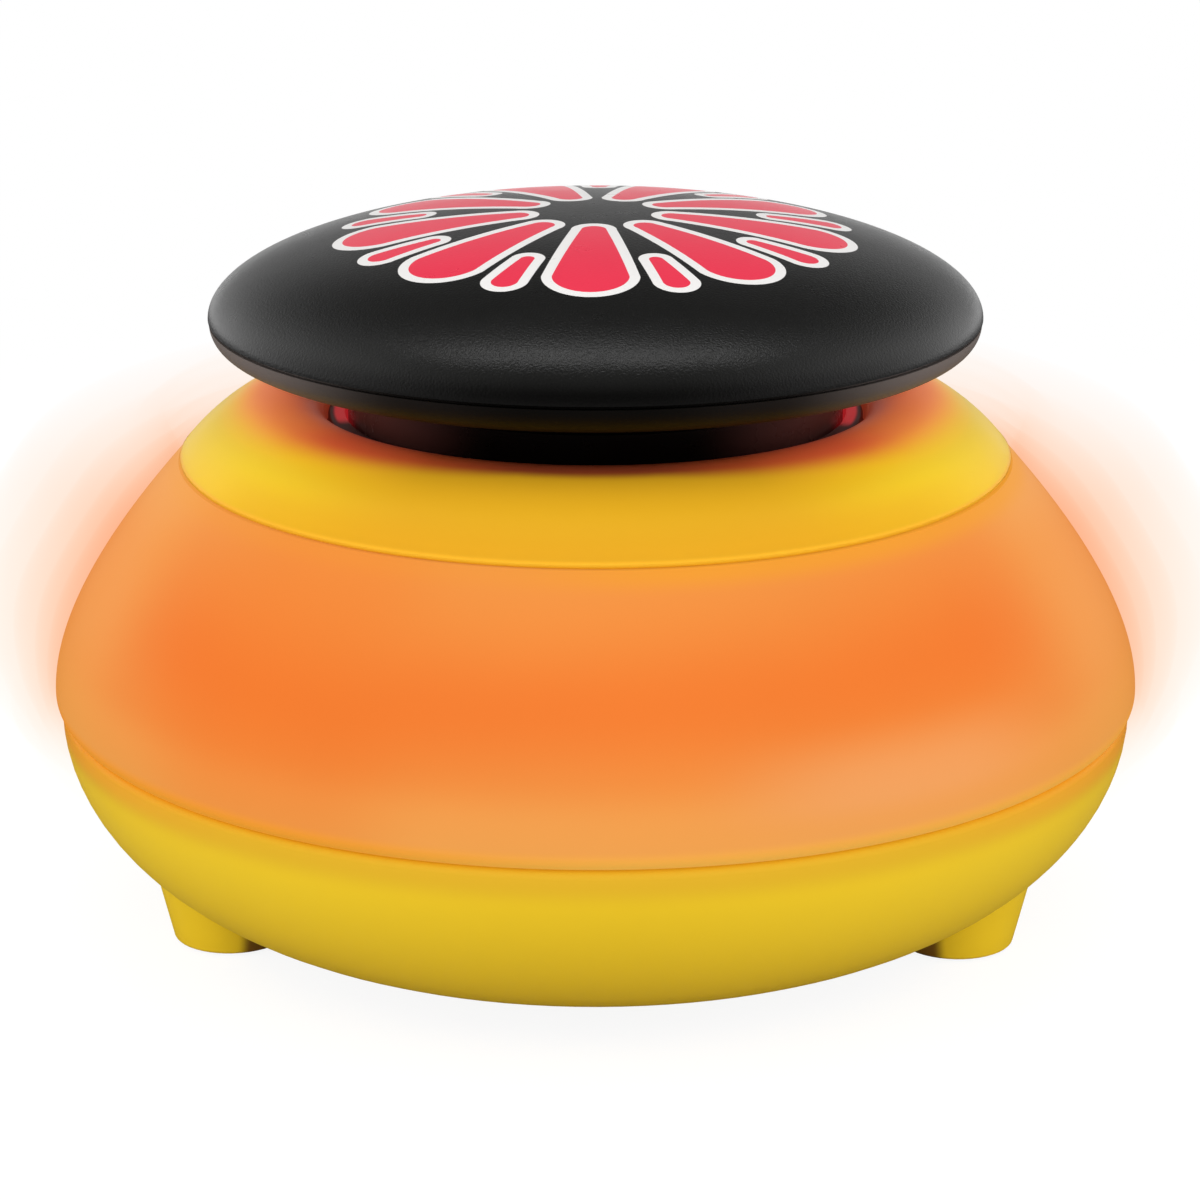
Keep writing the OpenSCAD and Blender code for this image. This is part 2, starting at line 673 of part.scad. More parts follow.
module bottom_shell() {
    box_len = box_y[1] - box_y[0];
    color([0.9, 0.72, 0.14]) difference() {
        union() {
            rotate_extrude(convexity = 4)
                polygon(concat([[bowl_r - wall, bowl_h]],
                               arc([bowl_r - rim_round, bowl_h - rim_round], rim_round, 90, 15, 4),
                               bowl_side(), [[0, belly], [0, floor_z]],
                               reversed(bowl_side(wall))));
            difference() {
                at_feet() foot_peg();
                bowl_form(wall - 0.2, bowl_h + 1);
            }
            intersection() {
                bowl_form(0.5, board_top);
                union() {
                    // screw posts, each tied to the bowl's side by a rib
                    around(case_angles, case_ring) cylinder(r = case_post, h = board_top);
                    around(case_angles, 0) translate([-rib_t / 2, -bowl_r, 0])
                        cube([rib_t, bowl_r - case_ring, case_rib_h]);
                    translate([-box_x - box_wall, box_y[0] - box_wall, 0])
                        cube([2 * (box_x + box_wall), box_len + 2 * box_wall, box_top + box_wall]);
                    translate([0, door_screw_y, 0]) cylinder(r = door_post, h = door_post_h);
                    translate([switch_at[0], switch_at[1], 0]) switch_cradle();
                }
            }
            speaker_seat();
        }
        // a recess under each foot for its pad, and a core that thins it from inside
        at_feet() {
            translate([0, 0, -1]) cylinder(r = pad_d / 2 + 0.1, h = pad_t + 1);
            translate([0, 0, pad_t + wall]) cylinder(r = foot_d / 2 - wall, h = foot_top);
        }
        // wells for the case screws' heads
        around(case_angles, case_ring) {
            translate([0, 0, -1]) cylinder(r = case_screw[0] + 0.3, h = case_seat + 1);
            cylinder(r = case_shank + slack, h = board_top + 1);
        }
        translate([-box_x, box_y[0], -1]) cube([2 * box_x, box_len, box_top + 1]);
        difference() {
            door_outline(gap);
            bowl_form(door_t, bowl_h);
        }
        translate([0, door_screw_y, 0]) cylinder(r = pilot, h = door_post_h - door_t);
        // windows for the door's hooks, and slots for the terminals' tabs
        for (x = [-hook_x, hook_x]) translate([x - hook_w / 2 - 0.5, box_y[0] - 2.4, floor_z])
            cube([hook_w + 1, 3, 1.7]);
        for (y = cell_y) translate([-box_x - 2, y - tab_w - 0.7, tab_z - 0.2])
            cube([3, tab_w + 0.4, contact_t + 0.4]);
        translate([switch_at[0], switch_at[1], -1]) {
            knob_slot(8);
            plate(finger_w, finger_l, 1 + belly + finger_deep, 1.5);
        }
        grille_holes();
        for (s = [-1, 1]) translate([s * ear_x, speaker_y, floor_z - 1]) cylinder(r = pilot, h = 8);
    }
}

// Walls that hold the switch's case by its corners
module switch_cradle() {
    x = switch_size[0] + 2 * gap;
    y = switch_size[1] + 2 * gap;
    difference() {
        plate(x + 2 * cradle_wall, y + 2 * cradle_wall, switch_z + 4, 0.8);
        translate([0, 0, switch_z]) {
            plate(x, y, 8, 0.2);
            plate(4, 2 * y, 8, 0.2);
        }
    }
}

module foot_pad(foot) {
    color([0.08, 0.08, 0.08]) translate(polar(foot[0], foot[1])) cylinder(r = pad_d / 2, h = pad_t);
}

module left_foot_pad() { foot_pad(feet[0]); }

module right_foot_pad() { foot_pad(feet[1]); }

module rear_foot_pad() { foot_pad(feet[2]); }

module case_screws() {
    color("silver") around(case_angles, case_ring)
        translate([0, 0, case_seat]) screw(case_screw, case_shank);
}

module battery_door() {
    color([0.9, 0.72, 0.14]) difference() {
        union() {
            intersection() {
                door_outline(0);
                difference() {
                    bowl_form(0, bowl_h);
                    bowl_form(door_t, bowl_h + 1);
                }
            }
            // hooks that reach over the edge of the opening
            for (x = [-hook_x, hook_x]) translate([x - hook_w / 2, box_y[0], 0]) {
                translate([0, -2, floor_z + 0.1]) cube([hook_w, 3.6, hook_t]);
                translate([0, 0.2, belly + door_t - 0.5]) cube([hook_w, 1.4, hook_t + 0.5]);
            }
            for (x = [-door_rib_x, door_rib_x])
                translate([x - rib_t / 2, box_y[0] + 3, belly + door_t - 0.3])
                    cube([rib_t, box_y[1] - box_y[0] - 6, 0.9]);
        }
        translate([0, door_screw_y, belly - 0.5])
            cylinder(r1 = door_head_r + 0.85, r2 = shank + 0.25, h = door_head_h + 0.6, $fn = 48);
        translate([0, door_screw_y, 0]) cylinder(r = 1.5, h = 8);
    }
}

module battery_door_screw() {
    color("silver") translate([0, door_screw_y, belly + 0.05]) difference() {
        rotate_extrude()
            polygon([[0, 0], [door_head_r, 0], [shank, door_head_h], [shank, 8], [0, 9]]);
        for (a = [0, 90]) rotate(a) translate([-1.4, -0.3, -1]) cube([2.8, 0.6, 1.6]);
    }
}

// A cell along +X whose flat end is at x = 0
module cell() {
    rotate([0, 90, 0]) rotate_extrude()
        polygon(concat([[0, 0]], [[cell_d / 2 - 0.7, 0]],
                       arc([cell_d / 2 - 0.5, 0.5], 0.5, -90, 0, 3),
                       arc([cell_d / 2 - 0.5, cell_l - 1.6], 0.5, 0, 90, 3),
                       [[1.9, cell_l - 1.1], [1.9, cell_l - 0.1], [1.8, cell_l], [0, cell_l]]));
}

module front_battery() {
    color([0.2, 0.3, 0.6]) translate([box_x - contact_t - cell_l, cell_y[0], cell_z]) cell();
}

module rear_battery() {
    color([0.2, 0.3, 0.6]) translate([cell_l + contact_t - box_x, cell_y[1], cell_z]) rotate(180) cell();
}

// A conical contact spring along +X, from a plate's face at x = 0 to the end of a cell
module contact_spring() {
    reach = 2 * box_x - 2 * contact_t - cell_l - 0.05;
    rotate([0, 90, 0]) sweep(coil(3.6, 2.1, 0.25, reach - 0.3, 3, 0, 12), 0.3, 5);
}

module battery_terminals() {
    color("gainsboro") for (y = cell_y) translate([-box_x, y, 0]) {
        translate([0, -contact_w / 2, cell_z - contact_w / 2]) cube([contact_t, contact_w, contact_w]);
        translate([-3, -tab_w - 0.5, tab_z]) cube([3 + contact_t, tab_w, contact_t]);
        if (y == cell_y[0]) translate([contact_t, 0, cell_z]) contact_spring();
    }
}

module battery_link() {
    color("gainsboro") {
        translate([box_x - contact_t, cell_y[0] - contact_w / 2, cell_z - contact_w / 2])
            cube([contact_t, cell_y[1] - cell_y[0] + contact_w, contact_w]);
        translate([box_x - contact_t, cell_y[1], cell_z]) rotate(180) contact_spring();
    }
}

// ---- Loudspeaker ----

module speaker_gasket() {
    color([0.2, 0.2, 0.2]) translate([0, speaker_y, shelf_z])
        tube(speaker_r - speaker_lip, speaker_r - 0.1, gasket_t);
}

module speaker_frame() {
    throat = speaker_r - 3.2;
    window_r = 1.7;
    color([0.6, 0.6, 0.62]) translate([0, speaker_y, speaker_z]) difference() {
        rotate_extrude(convexity = 4)
            polygon([[throat, 0], [speaker_r, 0], [speaker_r, rim_t], [throat + 0.8, rim_t],
                     [throat + 0.8, 2.6], [10.6, 5.6], [3, 5.6], [3, 4.8], [10.2, 4.8], [throat, 2]]);
        // windows in the basket
        for (a = [30:60:330]) rotate(a) translate([12.6, 0, 1.6]) cylinder(r = window_r, h = 6);
    }
    // tag strip on the basket's side
    color([0.6, 0.6, 0.62]) translate([-4, speaker_y + magnet_r + 0.2, tag_z]) cube([8, 4.2, 1.2]);
}

// A rolled edge, a straight cone and a dust cap
module speaker_cone() {
    roll_r = 1.1;
    roll = speaker_r - 3.4 - roll_r;
    color([0.12, 0.12, 0.12]) translate([0, speaker_y, speaker_z + 0.3]) rotate_extrude(convexity = 4)
        polygon(concat(arc([roll, 0], roll_r, 0, 160, 8), [[4.8, 3.2]],
                       arc([0, -1.3], 5.4, 62, 90, 5), arc([0, -1.3], 5, 90, 64, 5),
                       [[4.6, 2.8]], arc([roll, 0], roll_r - 0.3, 180, 0, 8)));
}

// A ferrite ring between two steel plates
module speaker_magnet() {
    color([0.3, 0.3, 0.32]) translate([0, speaker_y, magnet_z]) rotate_extrude()
        polygon([[0, 0], [magnet_r, 0], [magnet_r, 0.9], [magnet_r - 0.4, 1.1], [magnet_r - 0.4, 4.2],
                 [magnet_r, 4.4], [magnet_r, 5.2], [magnet_r - 0.4, 5.6], [0, 5.6]]);
}

module speaker_retainer() {
    color([0.12, 0.12, 0.12]) translate([0, speaker_y, speaker_z + rim_t]) difference() {
        union() {
            cylinder(r = speaker_r + seat_wall, h = retainer_t);
            plate(2 * (ear_x + ear_r), 2 * ear_r, retainer_t, ear_r - 0.1);
        }
        translate([0, 0, -1]) cylinder(r = speaker_r - 1.8, h = 4);
        for (s = [-1, 1]) translate([s * ear_x, 0, -1]) cylinder(r = screw_hole, h = 4);
    }
}

module speaker_screws() {
    color("silver") for (s = [-1, 1]) translate([s * ear_x, speaker_y, speaker_z + rim_t + retainer_t])
        rotate([180, 0, 0]) screw(speaker_screw);
}

// ---- Power switch ----

// The slot that the knob slides in
module knob_slot(h) {
    plate(knob_size[0] + 2 * slot_gap, knob_size[1] + knob_travel + 2 * slot_gap, h, 0.2);
}

module power_switch_body() {
    color([0.75, 0.75, 0.78]) translate([switch_at[0], switch_at[1], switch_z]) {
        difference() {
            plate(switch_size[0], switch_size[1], switch_size[2], 0.3);
            translate([0, 0, -1]) knob_slot(2.9);
        }
        for (y = [-1, 0, 1] * pin_pitch) translate([0, y, switch_size[2] - 0.1]) cylinder(r = 0.5, h = 2.1);
    }
}

module power_switch_knob() {
    color([0.1, 0.1, 0.1]) translate([switch_at[0], switch_at[1] + knob_travel / 2, knob_z]) difference() {
        plate(knob_size[0], knob_size[1], switch_z + 1.6 - knob_z, 0.3);
        // grip grooves across the knob
        for (y = [-1.2, 0, 1.2]) translate([-3, y - 0.25, -1]) cube([6, 0.5, 1.35]);
    }
}

// ---- Wires ----

// A lead from a to d, which leaves a towards b and comes to d from c
module lead(a, b, c, d) {
    sweep(bezier(a, b, c, d, 12), lead_r, 8);
}

// Where a lead meets the board's underside
function solder(x, y) = [x, y, board_top - board_t - 0.1];

module battery_wires() {
    color([0.7, 0.1, 0.1]) for (i = [0, 1]) {
        from = [-box_x - 3.15, cell_y[i] - 2, tab_z + contact_t / 2];
        to = solder(-33, 5 * i);
        lead(from, from + [-5, 0, 0], to + [0, 0, -9], to);
    }
}

module switch_wires() {
    color([0.8, 0.6, 0.1]) for (i = [0, 1]) {
        from = [switch_at[0], switch_at[1] - i * pin_pitch, switch_z + switch_size[2] + 2.05];
        to = solder(31, -3.5 - 4 * i);
        lead(from, from + [0, 0, 7], to + [0, 0, -8], to);
    }
}

module speaker_wires() {
    color([0.15, 0.15, 0.15]) for (i = [-1, 1]) {
        from = [2.5 * i, speaker_y + magnet_r + 2.8, tag_z + 1.25];
        to = solder(3.5 * i, -7);
        lead(from, from + [0, 0, 5], to + [0, 0, -7], to);
    }
}

button_dome();
button_underside();
plunger();
dome_screws();
retaining_washer();
retaining_screw();
return_spring();
top_shell();
light_ring();
guide_frame();
frame_screws();
diffuser_band();
circuit_board();
board_screws();
rubber_dome_switch();
band_leds();
ring_leds();
sound_chip();
capacitor();
resistors();
bottom_shell();
left_foot_pad();
right_foot_pad();
rear_foot_pad();
case_screws();
battery_door();
battery_door_screw();
front_battery();
rear_battery();
battery_terminals();
battery_link();
speaker_frame();
speaker_cone();
speaker_magnet();
speaker_gasket();
speaker_retainer();
speaker_screws();
power_switch_body();
power_switch_knob();
battery_wires();
switch_wires();
speaker_wires();
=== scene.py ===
import json
from math import cos, pi, radians, sin

import bmesh
import bpy
import numpy as np
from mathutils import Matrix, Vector

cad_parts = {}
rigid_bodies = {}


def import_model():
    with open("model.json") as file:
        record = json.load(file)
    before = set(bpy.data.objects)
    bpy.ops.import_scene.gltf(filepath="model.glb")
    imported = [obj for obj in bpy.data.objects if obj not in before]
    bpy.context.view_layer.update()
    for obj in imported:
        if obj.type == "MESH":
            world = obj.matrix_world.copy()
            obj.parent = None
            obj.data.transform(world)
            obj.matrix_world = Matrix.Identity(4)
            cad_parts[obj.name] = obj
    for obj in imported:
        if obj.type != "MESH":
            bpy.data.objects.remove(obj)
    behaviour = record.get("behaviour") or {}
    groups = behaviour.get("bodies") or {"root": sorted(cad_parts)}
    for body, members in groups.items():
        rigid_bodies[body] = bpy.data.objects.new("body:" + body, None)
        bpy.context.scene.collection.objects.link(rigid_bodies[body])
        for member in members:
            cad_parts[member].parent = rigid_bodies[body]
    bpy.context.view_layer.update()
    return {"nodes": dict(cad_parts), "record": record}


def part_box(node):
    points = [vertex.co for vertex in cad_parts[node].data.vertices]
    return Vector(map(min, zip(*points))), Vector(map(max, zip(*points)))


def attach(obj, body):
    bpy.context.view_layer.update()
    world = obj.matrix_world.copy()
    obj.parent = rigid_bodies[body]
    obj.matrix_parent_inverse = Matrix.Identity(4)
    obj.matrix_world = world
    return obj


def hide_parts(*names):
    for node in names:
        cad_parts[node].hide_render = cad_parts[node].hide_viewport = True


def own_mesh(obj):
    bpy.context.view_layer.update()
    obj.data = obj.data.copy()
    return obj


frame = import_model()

# ---------------------------------------------------------------- sizes
# Lengths are in metres. The base's size and its seams come from the frame.

MM = 0.001
LOW, HIGH = 0, 1

base_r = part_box("diffuser_band")[HIGH].x
band_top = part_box("diffuser_band")[HIGH].z
spigot_depth = 2.4 * MM
bowl_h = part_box("diffuser_band")[LOW].z + spigot_depth
bowl_r = base_r - 0.7 * MM
shoulder_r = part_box("top_shell")[HIGH].x + 0.2 * MM
rim_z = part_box("light_ring")[HIGH].z + 0.25 * MM
well_r = 31.0 * MM
collar_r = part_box("plunger")[HIGH].x
cap_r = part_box("button_dome")[HIGH].x
cap_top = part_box("button_dome")[HIGH].z
cap_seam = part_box("plunger")[HIGH].z + 6.0 * MM
cap_wall = 2.2 * MM
cap_power = 1.97                # the dome's superellipse
cap_gap = 0.2 * MM              # from the seam to the dome, and to the underside
band_wall = 2.2 * MM
band_lip = 1.6 * MM
shell_wall = 2.4 * MM

AROUND = 288                    # steps round a turned piece
SAME_POINT = 1e-7
POLE = 1e-9                     # a radius below this is on the axis
WELD = 2e-6                     # vertices closer than this are one


# ---------------------------------------------------------------- outlines

def bezier(a, b, c, d, n=48):
    """Points of the cubic (1-t)^3 a + 3(1-t)^2 t b + 3(1-t) t^2 c + t^3 d, for t from 0 to 1."""
    t = np.linspace(0, 1, n + 1)[:, None]
    a, b, c, d = (np.array(p, float) for p in (a, b, c, d))
    return (1 - t) ** 3 * a + 3 * (1 - t) ** 2 * t * b + 3 * (1 - t) * t ** 2 * c + t ** 3 * d


def superellipse(r0, z0, a, h, power, n=64):
    """A quarter of |x/a|^p + |z/h|^p = 1 about (r0, z0), from its tip on the r axis to that on the z axis."""
    t = np.linspace(0, pi / 2, n + 1)
    return np.stack([r0 + a * np.cos(t) ** (2 / power), z0 + h * np.sin(t) ** (2 / power)], 1)


def arc(r0, z0, radius, start, end, n=8):
    """Points of a circle about (r0, z0), between two angles in degrees."""
    t = np.radians(np.linspace(start, end, n + 1))
    return np.stack([r0 + radius * np.cos(t), z0 + radius * np.sin(t)], 1)


def left_of(path):
    """At each point, the unit vector to the path's left as it runs."""
    tangent = np.gradient(path, axis=0)
    tangent /= np.linalg.norm(tangent, axis=1, keepdims=True)
    return np.stack([-tangent[:, 1], tangent[:, 0]], 1)


def beside(path, distance):
    """The path moved sideways by a distance, to its right as it runs."""
    return path - distance * left_of(path)


def between(path, start, end):
    """The points of a path whose r is between two values."""
    return path[(path[:, 0] > start) & (path[:, 0] < end)]


def band_side(n):
    """The lit band's side, from the shoulder out and down to its lip."""
    return bezier((shoulder_r, band_top), (shoulder_r + 6.6 * MM, band_top - 7.4 * MM),
                  (base_r, bowl_h + band_lip + 8.2 * MM), (base_r, bowl_h + band_lip), n)


# ---------------------------------------------------------------- meshes

def link(name, data):
    made = bpy.data.objects.new(name, data)
    bpy.context.scene.collection.objects.link(made)
    return made


def shade_smooth(piece, sharp_above):
    """Smooth shading, with hard edges where two faces meet at more than the angle in degrees."""
    mesh = bmesh.new()
    mesh.from_mesh(piece.data)
    limit = radians(sharp_above)
    for face in mesh.faces:
        face.smooth = True
    for edge in mesh.edges:
        edge.smooth = len(edge.link_faces) == 2 and edge.calc_face_angle(pi) < limit
    mesh.to_mesh(piece.data)
    mesh.free()


def revolve(name, outline, around=AROUND, sharp_above=38):
    """A closed outline of (r, z) turned about Z: the point at angle a is (r cos a, r sin a, z).
    The outline runs with the solid on its left. Points with r = 0 become one pole each."""
    outline = np.asarray(outline, float)
    keep = np.ones(len(outline), bool)
    keep[1:] = np.linalg.norm(np.diff(outline, axis=0), axis=1) > SAME_POINT
    outline = outline[keep]
    if np.linalg.norm(outline[0] - outline[-1]) < SAME_POINT:
        outline = outline[:-1]
    angle = np.linspace(0, 2 * pi, around, endpoint=False)
    ring = np.stack([np.cos(angle), np.sin(angle)], 1)
    vertices, rings, count = [], [], 0
    for r, z in outline:
        wide = r > POLE
        rows = ring * r if wide else np.zeros((1, 2))
        rings.append((count, wide))
        vertices.append(np.column_stack([rows, np.full(len(rows), z)]))
        count += len(rows)
    index = np.arange(around)
    after = (index + 1) % around
    faces = []
    for (i, wide_i), (j, wide_j) in zip(rings, rings[1:] + rings[:1]):
        if wide_i and wide_j:
            faces += np.column_stack([i + index, i + after, j + after, j + index]).tolist()
        elif wide_i:
            faces += np.column_stack([i + index, i + after, np.full(around, j)]).tolist()
        elif wide_j:
            faces += np.column_stack([np.full(around, i), j + after, j + index]).tolist()
    mesh = bpy.data.meshes.new(name)
    mesh.from_pydata(np.concatenate(vertices).tolist(), [], faces)
    mesh.update()
    piece = link(name, mesh)
    shade_smooth(piece, sharp_above)
    return piece


def smooth_copy(name, node, sharp_above=32):
    """A copy of a CAD node whose loose triangles are merged, so that its round faces shade smoothly."""
    mesh = bmesh.new()
    mesh.from_mesh(frame["nodes"][node].data)
    bmesh.ops.remove_doubles(mesh, verts=mesh.verts, dist=WELD)
    bmesh.ops.dissolve_degenerate(mesh, edges=mesh.edges, dist=SAME_POINT)
    data = bpy.data.meshes.new(name)
    mesh.to_mesh(data)
    mesh.free()
    piece = link(name, data)
    shade_smooth(piece, sharp_above)
    return piece


# ---------------------------------------------------------------- node trees

# The Mix node's sockets for each kind of value: the first, the second and the result
MIX_SOCKETS = {"FLOAT": (2, 3, 0), "RGBA": (6, 7, 2)}


class Nodes:
    """A node tree, with a short call for each kind of node."""

    def __init__(self, tree):
        self.tree = tree

    def node(self, kind, **settings):
        made = self.tree.nodes.new(kind)
        for key, value in settings.items():
            setattr(made, key, value)
        return made

    def feed(self, socket, value):
        if isinstance(value, bpy.types.NodeSocket):
            self.tree.links.new(value, socket)
        elif isinstance(value, tuple) and len(value) == 3 and socket.type == "RGBA":
            socket.default_value = (*value, 1.0)
        else:
            socket.default_value = value

    def math(self, operation, a, b=0.0, clamp=False):
        made = self.node("ShaderNodeMath", operation=operation, use_clamp=clamp)
        self.feed(made.inputs[0], a)
        self.feed(made.inputs[1], b)
        return made.outputs[0]

    def plus(self, a, b):
        return self.math("ADD", a, b)

    def minus(self, a, b):
        return self.math("SUBTRACT", a, b)

    def times(self, a, b):
        return self.math("MULTIPLY", a, b)

    def over(self, a, b):
        return self.math("DIVIDE", a, b)

    def larger(self, a, b):
        return self.math("MAXIMUM", a, b)

    def absolute(self, value):
        return self.math("ABSOLUTE", value)

    def length(self, x, y):
        """The length of the vector (x, y)."""
        return self.math("SQRT", self.plus(self.times(x, x), self.times(y, y)))

    def spread(self, value, start, end, first, last, ease):
        """first up to start, last from end on, and eased in between."""
        made = self.node("ShaderNodeMapRange", interpolation_type=ease)
        self.feed(made.inputs["Value"], value)
        for socket, number in (("From Min", start), ("From Max", end), ("To Min", first), ("To Max", last)):
            made.inputs[socket].default_value = number
        return made.outputs["Result"]

    def step(self, value, low, high, smooth=True):
        """0 at low, 1 at high, and eased in between; low may be above high."""
        ease = "SMOOTHERSTEP" if smooth else "LINEAR"
        if low > high:
            return self.spread(value, high, low, 1.0, 0.0, ease)
        return self.spread(value, low, high, 0.0, 1.0, ease)

    def range(self, value, low, high):
        """A 0 to 1 value spread over low to high."""
        return self.plus(self.times(value, high - low), low)

    def mix(self, amount, a, b, kind="RGBA"):
        """a where the amount is 0, b where it is 1."""
        made = self.node("ShaderNodeMix", data_type=kind)
        first, second, result = MIX_SOCKETS[kind]
        self.feed(made.inputs[0], amount)
        self.feed(made.inputs[first], a)
        self.feed(made.inputs[second], b)
        return made.outputs[result]


class Finish(Nodes):
    """A material: a principled shader, and the values at a point of the object that feed it."""

    def __init__(self, name, **sockets):
        self.material = bpy.data.materials.new(name)
        self.material.use_nodes = True
        super().__init__(self.material.node_tree)
        self.shader = self.tree.nodes["Principled BSDF"]
        self.place = self.node("ShaderNodeTexCoord").outputs["Object"]
        for socket, value in sockets.items():
            self.set(socket.replace("_", " "), value)

    def set(self, socket, value):
        self.feed(self.shader.inputs[socket], value)

    def axes(self):
        """X, Y and Z of the point on the object, in metres."""
        made = self.node("ShaderNodeSeparateXYZ")
        self.feed(made.inputs[0], self.place)
        return made.outputs[0], made.outputs[1], made.outputs[2]

    def radius(self):
        """Distance from the Z axis."""
        x, y = self.axes()[:2]
        return self.length(x, y)

    def side(self):
        """0 at the front and the back, 1 at the left and the right."""
        return self.over(self.absolute(self.axes()[0]), self.radius())

    def noise(self, scale, detail=2.0, roughness=0.5, stretch=None):
        made = self.node("ShaderNodeTexNoise")
        made.inputs["Scale"].default_value = scale
        made.inputs["Detail"].default_value = detail
        made.inputs["Roughness"].default_value = roughness
        where = self.place
        if stretch:
            mapping = self.node("ShaderNodeMapping")
            mapping.inputs["Scale"].default_value = stretch
            self.feed(mapping.inputs[0], self.place)
            where = mapping.outputs[0]
        self.feed(made.inputs["Vector"], where)
        return made.outputs["Fac"]

    def bump(self, height, distance, strength=1.0):
        """Relief, on top of any that is there already."""
        made = self.node("ShaderNodeBump")
        made.inputs["Strength"].default_value = strength
        made.inputs["Distance"].default_value = distance
        self.feed(made.inputs["Height"], height)
        if self.shader.inputs["Normal"].is_linked:
            self.feed(made.inputs["Normal"], self.shader.inputs["Normal"].links[0].from_socket)
        self.set("Normal", made.outputs[0])


def srgb(r, g, b):
    """A colour given in 8-bit sRGB, as the linear colour that a shader takes."""
    c = np.array([r, g, b]) / 255
    return tuple(float(v) for v in np.where(c <= 0.04045, c / 12.92, ((c + 0.055) / 1.055) ** 2.4))


def plain(name, colour, low, high, grain=600, depth=0.02, spread=0.08, **sockets):
    """A moulded or pressed finish: mottled colour, gloss that varies with handling, and a fine grain."""
    f = Finish(name, **sockets)
    base = srgb(*colour)
    dark = tuple(v * (1 - spread) for v in base)
    light = tuple(min(1, v * (1 + spread)) for v in base)
    f.set("Base Color", f.mix(f.noise(35, 4, 0.55), dark, light))
    f.set("Roughness", f.range(f.noise(90, 5, 0.6), low, high))
    f.bump(f.noise(grain, 3), depth * MM, 0.5)
    return f.material


# ---------------------------------------------------------------- shells

def shell_yellow():
    """Glossy yellow plastic, with painted shade and light: amber in front and lemon at the sides. From the
    crest inwards the ring's red light and the cap's shade are painted in: dark brown-red in front, where the
    cap shades it, and a lit orange at the sides."""
    f = Finish("shell_yellow", IOR=1.46, Specular_IOR_Level=0.14)
    r, side = f.radius(), f.side()
    # painted shade and light: darker amber in front, lighter lemon at the sides
    tint = f.mix(f.step(side, 0.35, 1.0), srgb(230, 173, 33), srgb(248, 209, 24))
    tint = f.mix(f.times(f.noise(22, 3), 0.10), tint, srgb(222, 160, 20))
    # towards the seam over the band, painted shade tinted with the band's orange light, fainter at the sides
    hem = f.step(r, shoulder_r - 4.5 * MM, shoulder_r - 0.8 * MM)
    hem = f.times(hem, f.range(f.step(side, 0.72, 0.97), 0.5, 0.1))
    tint = f.mix(hem, tint, srgb(222, 160, 24))
    # painted highlight along the shell's rounded lower edge
    edge = f.step(r, shoulder_r - 0.6 * MM, shoulder_r - 0.2 * MM)
    tint = f.mix(edge, tint, srgb(244, 184, 42))
    # the painted red light and shade is full inside one radius and gone outside another, and both are larger
    # at the sides
    wide = f.step(side, 0.2, 0.85, smooth=False)
    inside = f.range(wide, 36.6 * MM, 37.2 * MM)
    reach = f.range(wide, 2.4 * MM, 5.6 * MM)
    uneven = f.range(f.noise(60, 2), -0.08, 0.08)
    far = f.plus(f.over(f.minus(r, inside), reach), uneven)
    painted_red_light_and_shade = f.mix(f.step(side, 0.1, 0.6), srgb(160, 70, 40), srgb(214, 92, 46))
    painted_red_light_and_shade = f.mix(f.step(side, 0.7, 0.97), painted_red_light_and_shade, srgb(238, 154, 66))
    f.set("Base Color", f.mix(f.step(far, 1.0, 0.0), tint, painted_red_light_and_shade))
    # the ring's red light, painted as a glow of the shell itself, brightest near the crest and at the sides
    lit = f.times(f.step(r, 44.5 * MM, 38.5 * MM), f.range(f.step(r, 31 * MM, 36.5 * MM), 0.4, 1.0))
    glow = f.range(f.step(side, 0.45, 1.0, smooth=False), 0.0, 0.34)
    f.set("Emission Color", (1.0, 0.13, 0.06))
    f.set("Emission Strength", f.times(lit, glow))
    f.set("Roughness", f.range(f.noise(120, 4), 0.3, 0.4))
    f.bump(f.noise(900, 2), 0.012 * MM, 0.4)
    return f.material


def bowl_yellow():
    """Satin yellow plastic, a little greener than the top, with painted light and shade: lighter at the
    sides, shaded round the foot, darker just under the band, and a painted orange glow of the band near its
    top.
    """
    f = Finish("bowl_yellow", IOR=1.46, Specular_IOR_Level=0.12)
    z, r, side = f.axes()[2], f.radius(), f.side()
    # painted light: the colour is lighter at the sides
    tint = f.mix(f.step(side, 0.1, 0.8, smooth=False), srgb(233, 194, 36), srgb(240, 202, 40))
    tint = f.mix(f.times(f.noise(25, 3), 0.12), tint, srgb(214, 168, 24))
    # the shade is a soft ring: it stops short of the feet, and is faint on the flat underside
    shade = f.times(f.step(z, 11.5 * MM, 4 * MM), f.step(r, 46 * MM, 44 * MM))
    shade = f.times(shade, f.range(f.step(r, 33 * MM, 42 * MM), 0.25, 1.0))
    tint = f.mix(f.times(shade, 0.95), tint, srgb(112, 72, 26))
    # painted shade, darker just under the band's lip
    under_band_shade = f.step(z, bowl_h - 5 * MM, bowl_h - MM)
    tint = f.mix(f.times(under_band_shade, 0.7), tint, srgb(212, 170, 38))
    # painted orange glow of the band near the top at the sides, in the colour and as a faint emission
    warm = f.times(f.step(z, bowl_h - 4.4 * MM, bowl_h - MM), f.range(f.step(side, 0.5, 1.0), 0.1, 0.5))
    f.set("Base Color", f.mix(warm, tint, srgb(244, 152, 50)))
    f.set("Emission Color", srgb(240, 140, 20))
    f.set("Emission Strength", f.times(warm, 0.06))
    f.set("Roughness", f.range(f.noise(110, 4), 0.42, 0.52))
    f.bump(f.noise(800, 2), 0.012 * MM, 0.5)
    return f.material


